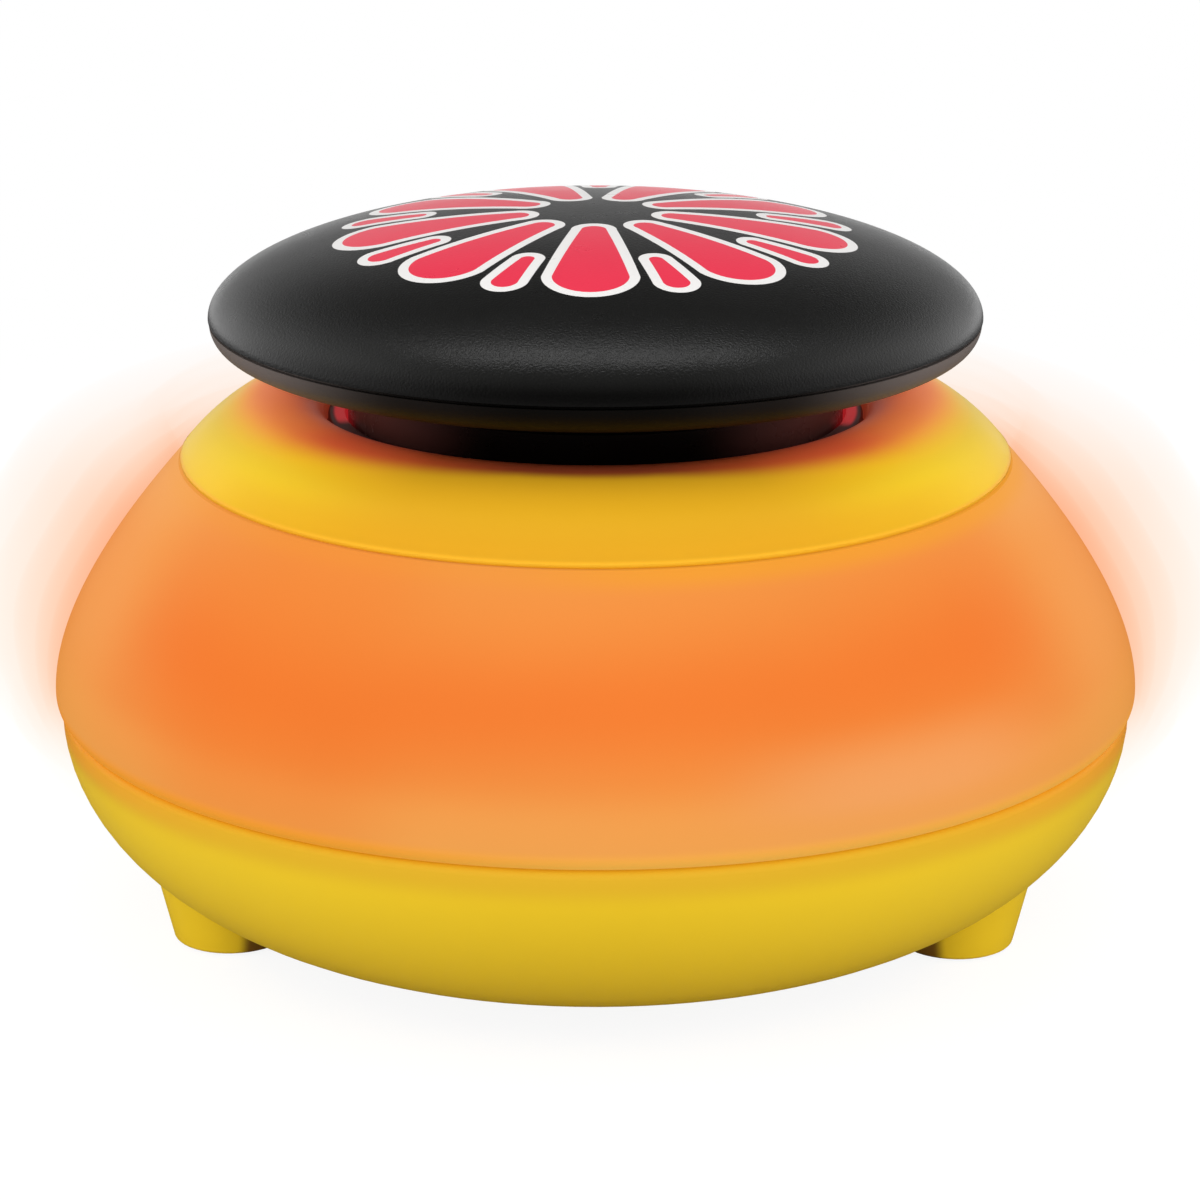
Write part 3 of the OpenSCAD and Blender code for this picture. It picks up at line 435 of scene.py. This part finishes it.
def band_orange():
    """Translucent orange plastic lit from inside: a deep orange belt, paler above and below, and a bright
    lip.
    The lip, the top edge and the left and right sides have painted highlights."""
    f = Finish("band_orange", IOR=1.46, Specular_IOR_Level=0.12)
    x, y, z = f.axes()
    angle = f.math("ARCTAN2", x, f.times(y, -1.0))
    across = f.math("SINE", angle)          # -1 at the left, 0 in front, 1 at the right
    side = f.absolute(across)
    streak = f.times(f.step(across, -0.2, -0.5), f.step(across, -0.85, -0.6))
    # the belt rises at the sides, more so on the right, and dips in the streak
    rise = f.plus(f.times(across, 0.9 * MM), f.times(f.times(side, side), 2 * MM))
    rise = f.minus(rise, f.times(streak, 1.8 * MM))
    cloud = f.range(f.noise(30, 2), -1.2 * MM, 1.2 * MM)
    middle = f.plus(f.plus(rise, 42.1 * MM), cloud)
    # it is narrowest at the front, the back and the sides, and fades at the sides
    lobes = f.math("COSINE", f.times(angle, 4.0))
    width = f.minus(7.3 * MM, f.times(lobes, 0.9 * MM))
    off = f.over(f.minus(z, middle), width)
    belt = f.math("EXPONENT", f.times(f.times(off, off), -1.0))
    belt = f.times(belt, f.range(f.step(side, 0.7, 0.97), 1.0, 0.2))
    pale = f.mix(f.step(z, 37 * MM, 31 * MM), srgb(244, 189, 98), srgb(249, 206, 112))
    tint = f.mix(belt, pale, srgb(244, 148, 66))
    # painted sheen: paler towards the left and right sides
    tint = f.mix(f.times(f.step(side, 0.8, 0.99), 0.6), tint, srgb(252, 222, 122))
    # a deeper streak on the left, and one paler patch low on the right
    tint = f.mix(f.times(streak, 0.3), tint, srgb(242, 140, 56))
    patch = f.times(f.step(across, 0.1, 0.55), f.step(across, 0.9, 0.6))
    patch = f.times(patch, f.step(z, 41 * MM, 33 * MM))
    patch = f.times(patch, f.range(f.step(z, 29 * MM, 33 * MM), 0.3, 1.0))
    tint = f.mix(f.times(patch, 0.8), tint, srgb(250, 212, 142))
    # painted highlight along the rounded lip, in its colour and a slightly stronger glow
    lip = f.step(z, bowl_h + 2.6 * MM, bowl_h + 0.9 * MM)
    bright = f.mix(f.step(across, -0.6, 0.2), srgb(250, 190, 60), srgb(251, 214, 94))
    tint = f.mix(f.times(lip, 0.95), tint, bright)
    # painted highlight along its top edge, stronger on the right
    hem = f.times(f.step(z, band_top - 2.8 * MM, band_top), f.range(f.step(across, -0.3, 0.3), 0.2, 0.8))
    tint = f.mix(hem, tint, srgb(250, 206, 60))
    f.set("Base Color", f.mix(f.noise(40, 3), srgb(170, 76, 16), srgb(178, 82, 18)))
    f.set("Emission Color", tint)
    f.set("Emission Strength", f.range(lip, 0.49, 0.54))
    f.set("Roughness", f.range(f.noise(80, 4), 0.42, 0.52))
    f.bump(f.noise(700, 2), 0.01 * MM, 0.4)
    return f.material


# ---------------------------------------------------------------- button and ring

RAYS = 9                        # of each kind, long and short
INK_LINE = 1.15 * MM            # the white outline's width
INK_EDGE = 0.03 * MM            # half the softness of a printed edge


def rays(f, turn, inner, outer, r_inner, r_outer):
    """Signed distance to the nearest of a ring of tapered, round-ended rays, in metres.
    A ray is a capsule from radius inner to outer, whose own radius goes from r_inner to r_outer."""
    x, y = f.axes()[:2]
    r = f.radius()
    pitch = 2 * pi / RAYS
    angle = f.over(f.plus(f.math("ARCTAN2", y, x), turn + 4 * pi), pitch)
    angle = f.times(f.minus(f.math("FRACT", angle), 0.5), pitch)
    along, across = f.times(r, f.math("COSINE", angle)), f.times(r, f.math("SINE", angle))
    past = f.minus(along, inner)
    share = f.math("DIVIDE", past, outer - inner, clamp=True)
    beyond = f.minus(past, f.times(share, outer - inner))
    return f.minus(f.length(beyond, across), f.range(share, r_inner, r_outer))


def cap_black():
    """Black plastic with a coarse spark-eroded grain, and a burst of crimson rays outlined in white."""
    f = Finish("cap_black", IOR=1.5, Specular_IOR_Level=0.35)
    z = f.axes()[2]
    long_rays = rays(f, pi / 2 - pi / RAYS, 9 * MM, 24.6 * MM, 1.4 * MM, 4.2 * MM)
    short_rays = rays(f, pi / 2, 20.5 * MM, 27 * MM, 0.8 * MM, 1.5 * MM)
    burst = f.math("MINIMUM", long_rays, short_rays)
    printed = f.times(f.step(burst, INK_LINE + INK_EDGE, INK_LINE - INK_EDGE),
                      f.step(z, cap_seam, cap_seam + MM))
    black = f.mix(f.noise(60, 5), srgb(19, 19, 18), srgb(27, 27, 26))
    # painted shade: darker towards the seam
    black = f.mix(f.step(z, cap_seam + 3.2 * MM, cap_seam + 0.8 * MM), black, srgb(9, 8, 7))
    crimson = f.mix(f.noise(50, 3), srgb(232, 48, 76), srgb(240, 58, 84))
    paint = f.mix(f.step(burst, INK_EDGE, -INK_EDGE), srgb(240, 238, 236), crimson)
    f.set("Base Color", f.mix(printed, black, paint))
    f.set("Roughness", f.range(f.noise(160, 6, 0.65), 0.25, 0.32))
    grain = f.times(f.noise(3800, 2, 0.55), f.range(printed, 1.0, 0.35))
    f.bump(grain, 0.05 * MM, 0.9)
    f.bump(printed, 0.02 * MM, 0.5)
    return f.material


def underside_black():
    """The same black plastic below the seam, finer grained, and greyer at the sides, where light is painted
    into its colour.
    """
    f = Finish("underside_black", IOR=1.5, Specular_IOR_Level=0.1)
    side = f.side()
    black = f.mix(f.noise(60, 5), srgb(6, 5, 4), srgb(11, 10, 8))
    # painted light: greyer towards the sides
    black = f.mix(f.step(side, 0.1, 0.5), black, srgb(24, 20, 18))
    f.set("Base Color", f.mix(f.step(side, 0.4, 1.0), black, srgb(112, 103, 99)))
    f.set("Roughness", f.range(f.noise(160, 6, 0.65), 0.5, 0.62))
    f.bump(f.noise(2600, 2), 0.03 * MM, 0.5)
    return f.material


def collar_black():
    """Smooth black plastic, warmer at the sides, where the ring's red light falls on it."""
    f = Finish("collar_black", IOR=1.5, Specular_IOR_Level=0.14)
    black = f.mix(f.noise(70, 4), srgb(5, 2, 1), srgb(9, 4, 3))
    f.set("Base Color", f.mix(f.step(f.side(), 0.35, 0.95), black, srgb(84, 50, 46)))
    f.set("Roughness", f.range(f.noise(140, 4), 0.22, 0.32))
    f.bump(f.noise(1500, 2), 0.02 * MM, 0.4)
    return f.material


def ring_red():
    """Translucent red plastic: its inner edge is lit over a short arc on the left and on the right."""
    f = Finish("ring_red", IOR=1.46, Specular_IOR_Level=0.2)
    side = f.side()
    lit = f.times(f.step(side, 0.95, 0.985), f.step(f.radius(), 30.3 * MM, 29.7 * MM))
    # painted shade and light: the base colour is near black in front and a lighter red-brown at the sides
    dull = f.mix(f.step(side, 0.8, 0.97), srgb(22, 8, 6), srgb(118, 52, 40))
    bright = f.mix(f.noise(90, 3), srgb(176, 34, 38), srgb(206, 56, 56))
    f.set("Base Color", f.mix(lit, dull, bright))
    f.set("Emission Color", srgb(206, 40, 46))
    f.set("Emission Strength", f.times(lit, 0.5))
    f.set("Roughness", f.range(f.noise(100, 3), 0.3, 0.42))
    f.bump(f.noise(600, 2), 0.02 * MM, 0.4)
    return f.material


# ---------------------------------------------------------------- inner parts

def board_green():
    """Green lacquer over fine straight tracks, with tinned pads on a 2.5 mm grid."""
    f = Finish("board_green", IOR=1.5, Specular_IOR_Level=0.4)
    x, y = f.axes()[:2]
    pitch = 2.5 * MM
    whole = 400 * pitch             # keeps the grid's count above 0

    def from_middle(value):
        """Distance from the middle of a grid cell, in metres."""
        share = f.minus(f.math("FRACT", f.over(f.plus(value, whole), pitch)), 0.5)
        return f.absolute(f.times(share, pitch))

    def line(off, stretch, low, high):
        """Tracks along the grid's middles, in runs that a stretched noise cuts off."""
        return f.times(f.step(off, 0.3 * MM, 0.22 * MM), f.step(f.noise(70, 0, stretch=stretch), low, high))

    u, v = from_middle(x), from_middle(y)
    track = f.larger(line(v, (0.3, 1, 1), 0.5, 0.53), line(u, (1, 0.3, 1), 0.55, 0.52))
    pad = f.times(f.step(f.length(u, v), 0.62 * MM, 0.56 * MM), f.step(f.noise(160, 0), 0.53, 0.55))
    lacquer = f.mix(f.noise(40, 3), srgb(20, 84, 44), srgb(28, 96, 50))
    lacquer = f.mix(f.times(track, 0.8), lacquer, srgb(58, 134, 74))
    f.set("Base Color", f.mix(pad, lacquer, srgb(196, 196, 190)))
    f.set("Metallic", f.times(pad, 0.9))
    f.set("Roughness", f.range(f.noise(120, 4), 0.26, 0.4))
    f.bump(f.larger(track, pad), 0.04 * MM, 0.6)
    return f.material


def cell_case(name, node, cap_end):
    """A dry cell along X: a dark blue sleeve with a copper band near its cap, and bare metal at both ends."""
    f = Finish(name, IOR=1.46)
    low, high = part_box(node)
    length = high.x - low.x
    tip, sign = (low.x, 1) if cap_end == LOW else (high.x, -1)
    depth = f.times(f.minus(f.axes()[0], tip), sign)
    bare = f.larger(f.step(depth, 1.9 * MM, 1.7 * MM), f.step(depth, length - 0.5 * MM, length - 0.3 * MM))
    band = f.times(f.step(depth, 1.7 * MM, 1.9 * MM), f.step(depth, 12.2 * MM, 12 * MM))
    stripe = f.times(f.step(depth, 12.6 * MM, 12.7 * MM), f.step(depth, 13.4 * MM, 13.3 * MM))
    sleeve = f.mix(f.noise(50, 3), srgb(26, 42, 92), srgb(32, 52, 108))
    sleeve = f.mix(band, sleeve, f.mix(f.noise(60, 3), srgb(190, 118, 62), srgb(204, 132, 74)))
    sleeve = f.mix(stripe, sleeve, srgb(226, 226, 222))
    f.set("Base Color", f.mix(bare, sleeve, srgb(186, 184, 180)))
    f.set("Metallic", f.larger(bare, f.times(band, 0.7)))
    f.set("Roughness", f.range(f.noise(90, 5, 0.6), 0.2, 0.34))
    f.bump(f.larger(band, f.noise(500, 2)), 0.01 * MM, 0.4)
    return f.material


def can_blue():
    """A capacitor's printed sleeve: dark blue, with a pale stripe down one side and a bare top."""
    f = Finish("capacitor_blue", IOR=1.46)
    x, y, z = f.axes()
    low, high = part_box("capacitor")
    middle = (low + high) / 2
    stripe = f.times(f.step(f.absolute(f.minus(x, middle.x)), 1.1 * MM, MM),
                     f.step(y, middle.y + 0.2 * MM, middle.y))
    top = f.step(z, high.z - 0.12 * MM, high.z - 0.06 * MM)
    sleeve = f.mix(f.noise(80, 3), srgb(26, 38, 104), srgb(34, 48, 124))
    sleeve = f.mix(stripe, sleeve, srgb(176, 184, 204))
    f.set("Base Color", f.mix(top, sleeve, srgb(188, 188, 190)))
    f.set("Metallic", top)
    f.set("Roughness", f.range(f.noise(120, 4), 0.3, 0.42))
    f.bump(f.noise(700, 2), 0.01 * MM, 0.4)
    return f.material


# Millimetres from a resistor's end to the middle of each colour band, and the band's colour
CODE = ((1.3, (120, 60, 24)), (2.4, (20, 20, 20)), (3.5, (196, 44, 34)), (5.4, (190, 150, 60)))


def resistor_bands():
    """Tan bodies along X with four colour bands, and tinned leads."""
    f = Finish("resistor_tan", IOR=1.46)
    x = f.axes()[0]
    low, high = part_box("resistors")
    start, end = low.x + 1.3 * MM, high.x - 1.3 * MM
    body = f.times(f.step(x, start - 0.05 * MM, start), f.step(x, end + 0.05 * MM, end))
    tint = f.mix(f.noise(90, 3), srgb(190, 152, 104), srgb(204, 168, 120))
    for place, colour in CODE:
        off = f.absolute(f.minus(x, start + place * MM))
        tint = f.mix(f.step(off, 0.36 * MM, 0.3 * MM), tint, srgb(*colour))
    f.set("Base Color", f.mix(body, srgb(196, 196, 192), tint))
    f.set("Metallic", f.minus(1.0, body))
    f.set("Roughness", f.range(f.noise(140, 4), 0.35, 0.5))
    f.bump(f.noise(700, 2), 0.02 * MM, 0.5)
    return f.material


def magnet_stack():
    """A dark ferrite ring between two zinc plates, told apart by height."""
    f = Finish("magnet_stack")
    z = f.axes()[2]
    low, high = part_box("speaker_magnet")
    plate = f.larger(f.step(z, low.z + 1.15 * MM, low.z + 1.05 * MM),
                     f.step(z, high.z - 1.45 * MM, high.z - 1.35 * MM))
    ferrite = f.mix(f.noise(60, 5), srgb(44, 43, 42), srgb(60, 58, 56))
    f.set("Base Color", f.mix(plate, ferrite, srgb(168, 168, 166)))
    f.set("Metallic", plate)
    f.set("Roughness", f.mix(plate, (0.6, 0.6, 0.6), f.range(f.noise(90, 4), 0.25, 0.4)))
    f.bump(f.noise(450, 3), 0.04 * MM, 0.5)
    return f.material


def cone_paper():
    """Pressed black paper: fibres, and fine rings about its own axis."""
    f = Finish("cone_paper")
    x, y = f.axes()[:2]
    low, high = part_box("speaker_cone")
    middle = (low + high) / 2
    pitch = 1.2 * MM
    r = f.length(f.minus(x, middle.x), f.minus(y, middle.y))
    rings = f.times(f.plus(f.math("SINE", f.times(r, 2 * pi / pitch)), 1.0), 0.5)
    fibres = f.noise(900, 4, 0.7)
    f.set("Base Color", f.mix(fibres, srgb(26, 25, 24), srgb(46, 44, 42)))
    f.set("Roughness", f.range(fibres, 0.74, 0.92))
    f.bump(fibres, 0.08 * MM, 0.6)
    f.bump(rings, 0.12 * MM, 0.5)
    return f.material


# ---------------------------------------------------------------- pieces

def cap_dome():
    """Superellipse dome over its seam, with an even wall and a square lower edge."""
    low = cap_seam + cap_gap
    rise = cap_top - low
    outer = superellipse(0, low, cap_r, rise, cap_power, 90)
    inner = superellipse(0, low, cap_r - cap_wall, rise - cap_wall, cap_power, 60)
    return revolve("cap_dome", np.concatenate([outer, inner[::-1]]))


def cap_underside():
    """Flared ring from the seam down to the collar, with a flat land inside and a lip up into the dome."""
    top, lip_top = cap_seam - cap_gap, cap_seam + cap_gap
    land, hub = cap_seam - 4.2 * MM, cap_seam - 6 * MM
    foot_r, hub_r, land_r, lip_r = collar_r + 0.1 * MM, 25 * MM, 31.5 * MM, cap_r - 0.7 * MM
    outer = bezier((cap_r - 0.1 * MM, top), (cap_r - 0.3 * MM, cap_seam - 4.4 * MM),
                   (cap_r - 7 * MM, cap_seam - 3.3 * MM), (foot_r, cap_seam - 7 * MM))
    inside = [(foot_r, hub), (hub_r, hub), (hub_r, land), (land_r, land)]
    lifted = between(outer + [0, 1.9 * MM], land_r, cap_r - cap_wall)
    lip = [(cap_r - cap_wall - 0.1 * MM, lip_top), (lip_r, lip_top)]
    outline = np.concatenate([[(lip_r, top)], outer, inside, lifted[::-1], lip])
    return revolve("cap_underside", outline[::-1])


def top_shoulder():
    """The yellow shoulder: it rises from the well's edge to a crest and falls to the seam above the band."""
    top = bezier((well_r + 0.3 * MM, rim_z + 0.05 * MM), (well_r + 2.5 * MM, rim_z + 4.25 * MM),
                 (shoulder_r - 5.9 * MM, rim_z + 2.05 * MM),
                 (shoulder_r - 0.2 * MM, band_top + 0.55 * MM), 72)
    edge = arc(shoulder_r - 0.7 * MM, band_top + 0.5 * MM, 0.5 * MM, 10, -80)
    rim = arc(well_r + 2.5 * MM, rim_z - 1.1 * MM, 2.5 * MM, 180, 153)
    land, land_r = rim_z - 2.15 * MM, well_r + 4.2 * MM
    inner = between(beside(top, shell_wall), land_r, shoulder_r - 4.3 * MM)
    skirt_r, skirt_low = shoulder_r - 2.9 * MM, band_top - 2.4 * MM
    skirt_in = skirt_r - 1.4 * MM
    foot = [(shoulder_r - 0.8 * MM, band_top), (skirt_r, band_top), (skirt_r, skirt_low),
            (skirt_in, skirt_low), (skirt_in, band_top + 1.8 * MM)]
    outline = np.concatenate([rim, top, edge, foot, inner[::-1], [(land_r, land), (well_r, land)]])
    return revolve("top_shoulder", outline[::-1])


def light_band():
    """The lit band: its side from the shoulder to a round lip over the bowl, and a spigot inside the bowl."""
    side = band_side(96)
    lower = arc(base_r - band_lip, bowl_h + band_lip, band_lip, -5, -90, 12)
    ledge = band_top - 2 * MM
    inner = beside(side, band_wall)
    inner = inner[inner[:, 1] < ledge]
    top_in = shoulder_r - 2.7 * MM
    spigot_r, spigot_low = bowl_r - 2.55 * MM, bowl_h - spigot_depth
    spigot_in = spigot_r - 1.4 * MM
    spigot = [(spigot_r, bowl_h), (spigot_r, spigot_low),
              (spigot_in, spigot_low), (spigot_in, bowl_h + band_lip)]
    outline = np.concatenate([[(top_in, band_top)], side, lower, spigot, inner[::-1], [(top_in, ledge)]])
    return revolve("light_band", outline[::-1])


# ---------------------------------------------------------------- assembly

steel = plain("zinc_steel", (168, 168, 170), 0.25, 0.4, Metallic=1.0)
spring_steel = plain("spring_steel", (158, 158, 160), 0.2, 0.34, Metallic=1.0)
nickel = plain("contact_nickel", (182, 178, 170), 0.22, 0.36, Metallic=1.0)
rubber = plain("rubber_black", (24, 24, 24), 0.7, 0.85, 400, 0.05)
silicone = plain("silicone_grey", (188, 188, 184), 0.45, 0.6)
white_plastic = plain("frame_white", (214, 213, 206), 0.4, 0.55)
epoxy = plain("chip_black", (18, 18, 18), 0.3, 0.45)
lamp_red = plain("led_red", (222, 58, 40), 0.1, 0.2, Emission_Color=(0.9, 0.1, 0.04), Emission_Strength=0.25)
speaker_steel = plain("speaker_steel", (150, 150, 152), 0.3, 0.45, Metallic=1.0)
foam = plain("foam_black", (38, 38, 38), 0.85, 0.95, 500, 0.15)
switch_black = plain("switch_black", (28, 28, 28), 0.4, 0.55)
wire_red = plain("wire_red", (176, 26, 28), 0.4, 0.5)
wire_yellow = plain("wire_yellow", (214, 168, 30), 0.4, 0.5)
wire_black = plain("wire_black", (24, 24, 24), 0.4, 0.5)
lower_yellow = bowl_yellow()

# CAD nodes that a smooth copy stands for: the copy's name, its material and its body
COPIES = {
    "plunger": ("collar", collar_black(), "button"),
    "dome_screws": ("dome_screw_set", steel, "button"),
    "retaining_washer": ("stem_washer", steel, "button"),
    "retaining_screw": ("stem_screw", steel, "button"),
    "light_ring": ("glow_ring", ring_red(), "base"),
    "guide_frame": ("well_frame", white_plastic, "base"),
    "frame_screws": ("frame_screw_set", steel, "base"),
    "circuit_board": ("board", board_green(), "base"),
    "board_screws": ("board_screw_set", steel, "base"),
    "rubber_dome_switch": ("dome_switch", silicone, "base"),
    "band_leds": ("band_lamps", lamp_red, "base"),
    "ring_leds": ("ring_lamps", lamp_red, "base"),
    "sound_chip": ("chip_blob", epoxy, "base"),
    "capacitor": ("can_capacitor", can_blue(), "base"),
    "resistors": ("resistor_row", resistor_bands(), "base"),
    "bottom_shell": ("bowl", lower_yellow, "base"),
    "left_foot_pad": ("left_pad", rubber, "base"),
    "right_foot_pad": ("right_pad", rubber, "base"),
    "rear_foot_pad": ("rear_pad", rubber, "base"),
    "case_screws": ("case_screw_set", steel, "base"),
    "battery_door": ("door", lower_yellow, "base"),
    "battery_door_screw": ("door_screw", steel, "base"),
    "front_battery": ("front_cell", cell_case("front_cell_case", "front_battery", HIGH), "base"),
    "rear_battery": ("rear_cell", cell_case("rear_cell_case", "rear_battery", LOW), "base"),
    "battery_terminals": ("terminals", nickel, "base"),
    "battery_link": ("cell_link", nickel, "base"),
    "speaker_frame": ("speaker_basket", speaker_steel, "base"),
    "speaker_cone": ("cone", cone_paper(), "base"),
    "speaker_magnet": ("magnet_stack", magnet_stack(), "base"),
    "speaker_gasket": ("gasket", foam, "base"),
    "speaker_retainer": ("retainer", switch_black, "base"),
    "speaker_screws": ("speaker_screw_set", steel, "base"),
    "power_switch_body": ("switch_case", nickel, "base"),
    "power_switch_knob": ("switch_knob", switch_black, "power_switch"),
    "battery_wires": ("battery_leads", wire_red, "base"),
    "switch_wires": ("switch_leads", wire_yellow, "base"),
    "speaker_wires": ("speaker_leads", wire_black, "base"),
    "return_spring": ("coil_spring", spring_steel, "base"),
}


def fit(piece, node, material, body):
    """Gives a piece its material and its body, and hides the CAD node it stands for."""
    piece.data.materials.clear()
    piece.data.materials.append(material)
    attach(piece, body)
    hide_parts(node)


fit(cap_dome(), "button_dome", cap_black(), "button")
fit(cap_underside(), "button_underside", underside_black(), "button")
fit(top_shoulder(), "top_shell", shell_yellow(), "base")
fit(light_band(), "diffuser_band", band_orange(), "base")
for node, (name, material, body) in COPIES.items():
    fit(smooth_copy(name, node), node, material, body)

# The spring and the rubber switch shorten under the button, towards their fixed lower ends; here each only
# gets a mesh of its own
press = next(joint for joint in frame["record"]["behaviour"]["joints"] if joint["name"] == "button_press")
for row in press["deforming_nodes"]:
    piece = bpy.data.objects[COPIES[row["node"]][0]]
    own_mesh(piece)


# ---------------------------------------------------------------- studio

def studio_floor():
    """Pale floor, white to the camera, that keeps the object's soft shadow. Gloss sees it dark near by and
    in front, and bright far off at the sides and behind."""
    bpy.ops.mesh.primitive_circle_add(vertices=96, radius=4, fill_type="NGON")
    floor = bpy.context.object
    floor.name = "studio_floor"
    f = Finish("floor_white", Roughness=0.9, Specular_IOR_Level=0.0)
    path = f.node("ShaderNodeLightPath")
    seen, mirrored = path.outputs["Is Camera Ray"], path.outputs["Is Glossy Ray"]
    r = f.radius()
    matt, matt_mirrored, matt_seen = (0.55,) * 3, (0.15,) * 3, (0.16,) * 3
    white_seen = f.times(seen, f.step(r, 90 * MM, 320 * MM))
    behind = f.step(f.over(f.axes()[1], r), -0.9, 0.35, smooth=False)
    white_mirrored = f.times(mirrored, f.times(behind, f.step(r, 320 * MM, 900 * MM)))
    white = f.larger(white_seen, white_mirrored)
    base = f.mix(seen, f.mix(mirrored, matt, matt_mirrored), matt_seen)
    f.set("Base Color", f.mix(white, base, (0.0, 0.0, 0.0)))
    f.set("Emission Color", (1.0, 1.0, 1.0))
    f.set("Emission Strength", f.larger(f.times(white, f.range(mirrored, 1.0, 1.3)),
                                        f.times(seen, f.range(white, 0.9, 1.0))))
    floor.data.materials.append(f.material)


# Each halo ring's reach from the band, and how strongly its air tints what is behind it
HALO = ((2 * MM, 6.8), (4 * MM, 5.95), (7 * MM, 4.59), (10.5 * MM, 2.38), (15 * MM, 4.25))


def tinted_air(name, density):
    """Clear air that takes green and blue out of the camera's rays, and of no others."""
    air = bpy.data.materials.new(name)
    air.use_nodes = True
    air.node_tree.nodes.clear()
    n = Nodes(air.node_tree)
    tint = n.node("ShaderNodeVolumeAbsorption")
    n.feed(tint.inputs["Color"], (0.97, 0.4, 0.0))
    seen = n.node("ShaderNodeLightPath").outputs["Is Camera Ray"]
    n.feed(tint.inputs["Density"], n.times(seen, density))
    n.feed(n.node("ShaderNodeOutputMaterial").inputs["Volume"], tint.outputs[0])
    return air


def band_glow():
    """The warm halo round the lit band: nested rings of tinted air, which only the camera sees.
    Each ring's outline is the band's side moved outwards, and less so towards the shoulder and the bowl."""
    side = band_side(24)
    out = left_of(side)
    share = np.linspace(0, 1, len(side))
    swell = 0.55 * np.sin(pi * np.minimum(share / 0.6, 0.5)) ** 2
    taper = 0.65 * np.clip((share - 0.68) / 0.32, 0, 1) ** 1.3
    width = 0.45 + swell - taper
    start = np.degrees(np.arctan2(out[0, 1], out[0, 0]))
    buried = beside(side, 2 * MM)[2:-1]
    lip_z = bowl_h + band_lip
    for number, (reach, density) in enumerate(HALO, 1):
        outer = side + out * (width * reach)[:, None]
        over = arc(shoulder_r, band_top, width[0] * reach, start, start + 35, 6)
        under = arc(base_r, lip_z, width[-1] * reach, -70, 0, 6)
        outline = np.concatenate([[(base_r - 2 * MM, lip_z)], under, outer[-2::-1], over[1:],
                                  [(shoulder_r - 2 * MM, band_top - MM)], buried])
        ring = revolve("glow_%d" % number, outline, 96)
        ring.data.materials.append(tinted_air("glow_air_%d" % number, density))
        for ray in ("diffuse", "glossy", "transmission", "volume_scatter", "shadow"):
            setattr(ring, "visible_" + ray, False)


def studio_world():
    """White behind the object. Matt surfaces get an even light, stronger from the front. Gloss mirrors
    a bright wall at each side, a paler horizon behind, and little in front."""
    world = bpy.data.worlds.new("studio_world")
    bpy.context.scene.world = world
    world.use_nodes = True
    n = Nodes(world.node_tree)
    path = n.node("ShaderNodeLightPath")
    direction = n.node("ShaderNodeSeparateXYZ")
    n.feed(direction.inputs[0], n.node("ShaderNodeTexCoord").outputs["Generated"])
    x, y, z = direction.outputs
    walls = n.times(n.spread(n.absolute(x), 0.25, 0.9, 0.0, 1.15, "SMOOTHSTEP"),
                    n.spread(y, -0.9, 0.35, 0.02, 1.0, "LINEAR"))
    horizon = n.times(n.spread(z, 0.2, 0.5, 0.5, 0.03, "SMOOTHSTEP"),
                      n.spread(y, 0.3, 0.8, 0.1, 1.0, "SMOOTHSTEP"))
    even = n.spread(y, -1.0, 0.2, 1.6, 0.55, "SMOOTHSTEP")
    level = n.mix(path.outputs["Is Diffuse Ray"], n.plus(walls, horizon), even, "FLOAT")
    back = n.tree.nodes["Background"]
    n.feed(back.inputs["Color"], (1.0, 1.0, 1.0))
    n.feed(back.inputs["Strength"], n.mix(path.outputs["Is Camera Ray"], level, 1.0, "FLOAT"))


def softbox(name, place, aim, width, height, watts, mirrored=False):
    """A rectangular lamp at a place, facing a point; only a mirrored one shows in gloss."""
    lamp = bpy.data.lights.new(name, "AREA")
    lamp.shape = "RECTANGLE"
    lamp.size, lamp.size_y, lamp.energy = width, height, watts
    holder = link(name, lamp)
    holder.location = place
    holder.rotation_euler = (Vector(aim) - Vector(place)).to_track_quat("-Z", "Y").to_euler()
    holder.visible_glossy = mirrored


def studio_camera():
    """A long lens, a little to the right of the front and looking down."""
    turn, elevation, distance, height = radians(1.2), radians(17.225), 0.4669, 0.0366
    camera = bpy.data.cameras.new("studio_camera")
    camera.lens, camera.sensor_width = 120, 36
    camera.shift_x = 0.00375
    camera.clip_start, camera.clip_end = 0.01, 20
    holder = link("studio_camera", camera)
    out = distance * cos(elevation)
    holder.location = (out * sin(turn), -out * cos(turn), height + distance * sin(elevation))
    holder.rotation_euler = (pi / 2 - elevation, 0, turn)
    bpy.context.scene.camera = holder


studio_floor()
band_glow()
studio_world()
softbox("overhead", (0, 0.13, 0.75), (0, 0, 0.05), 0.56, 0.1, 0.8, mirrored=True)
softbox("left", (-0.85, -0.3, 0.3), (0, 0, 0.04), 0.4, 0.6, 1.4)
softbox("right", (0.85, -0.3, 0.3), (0, 0, 0.04), 0.4, 0.6, 1.4)
softbox("front", (0, -0.95, 0.2), (0, 0, 0.04), 1.2, 0.4, 0.5)
studio_camera()

bpy.context.scene.view_settings.view_transform = "Standard"
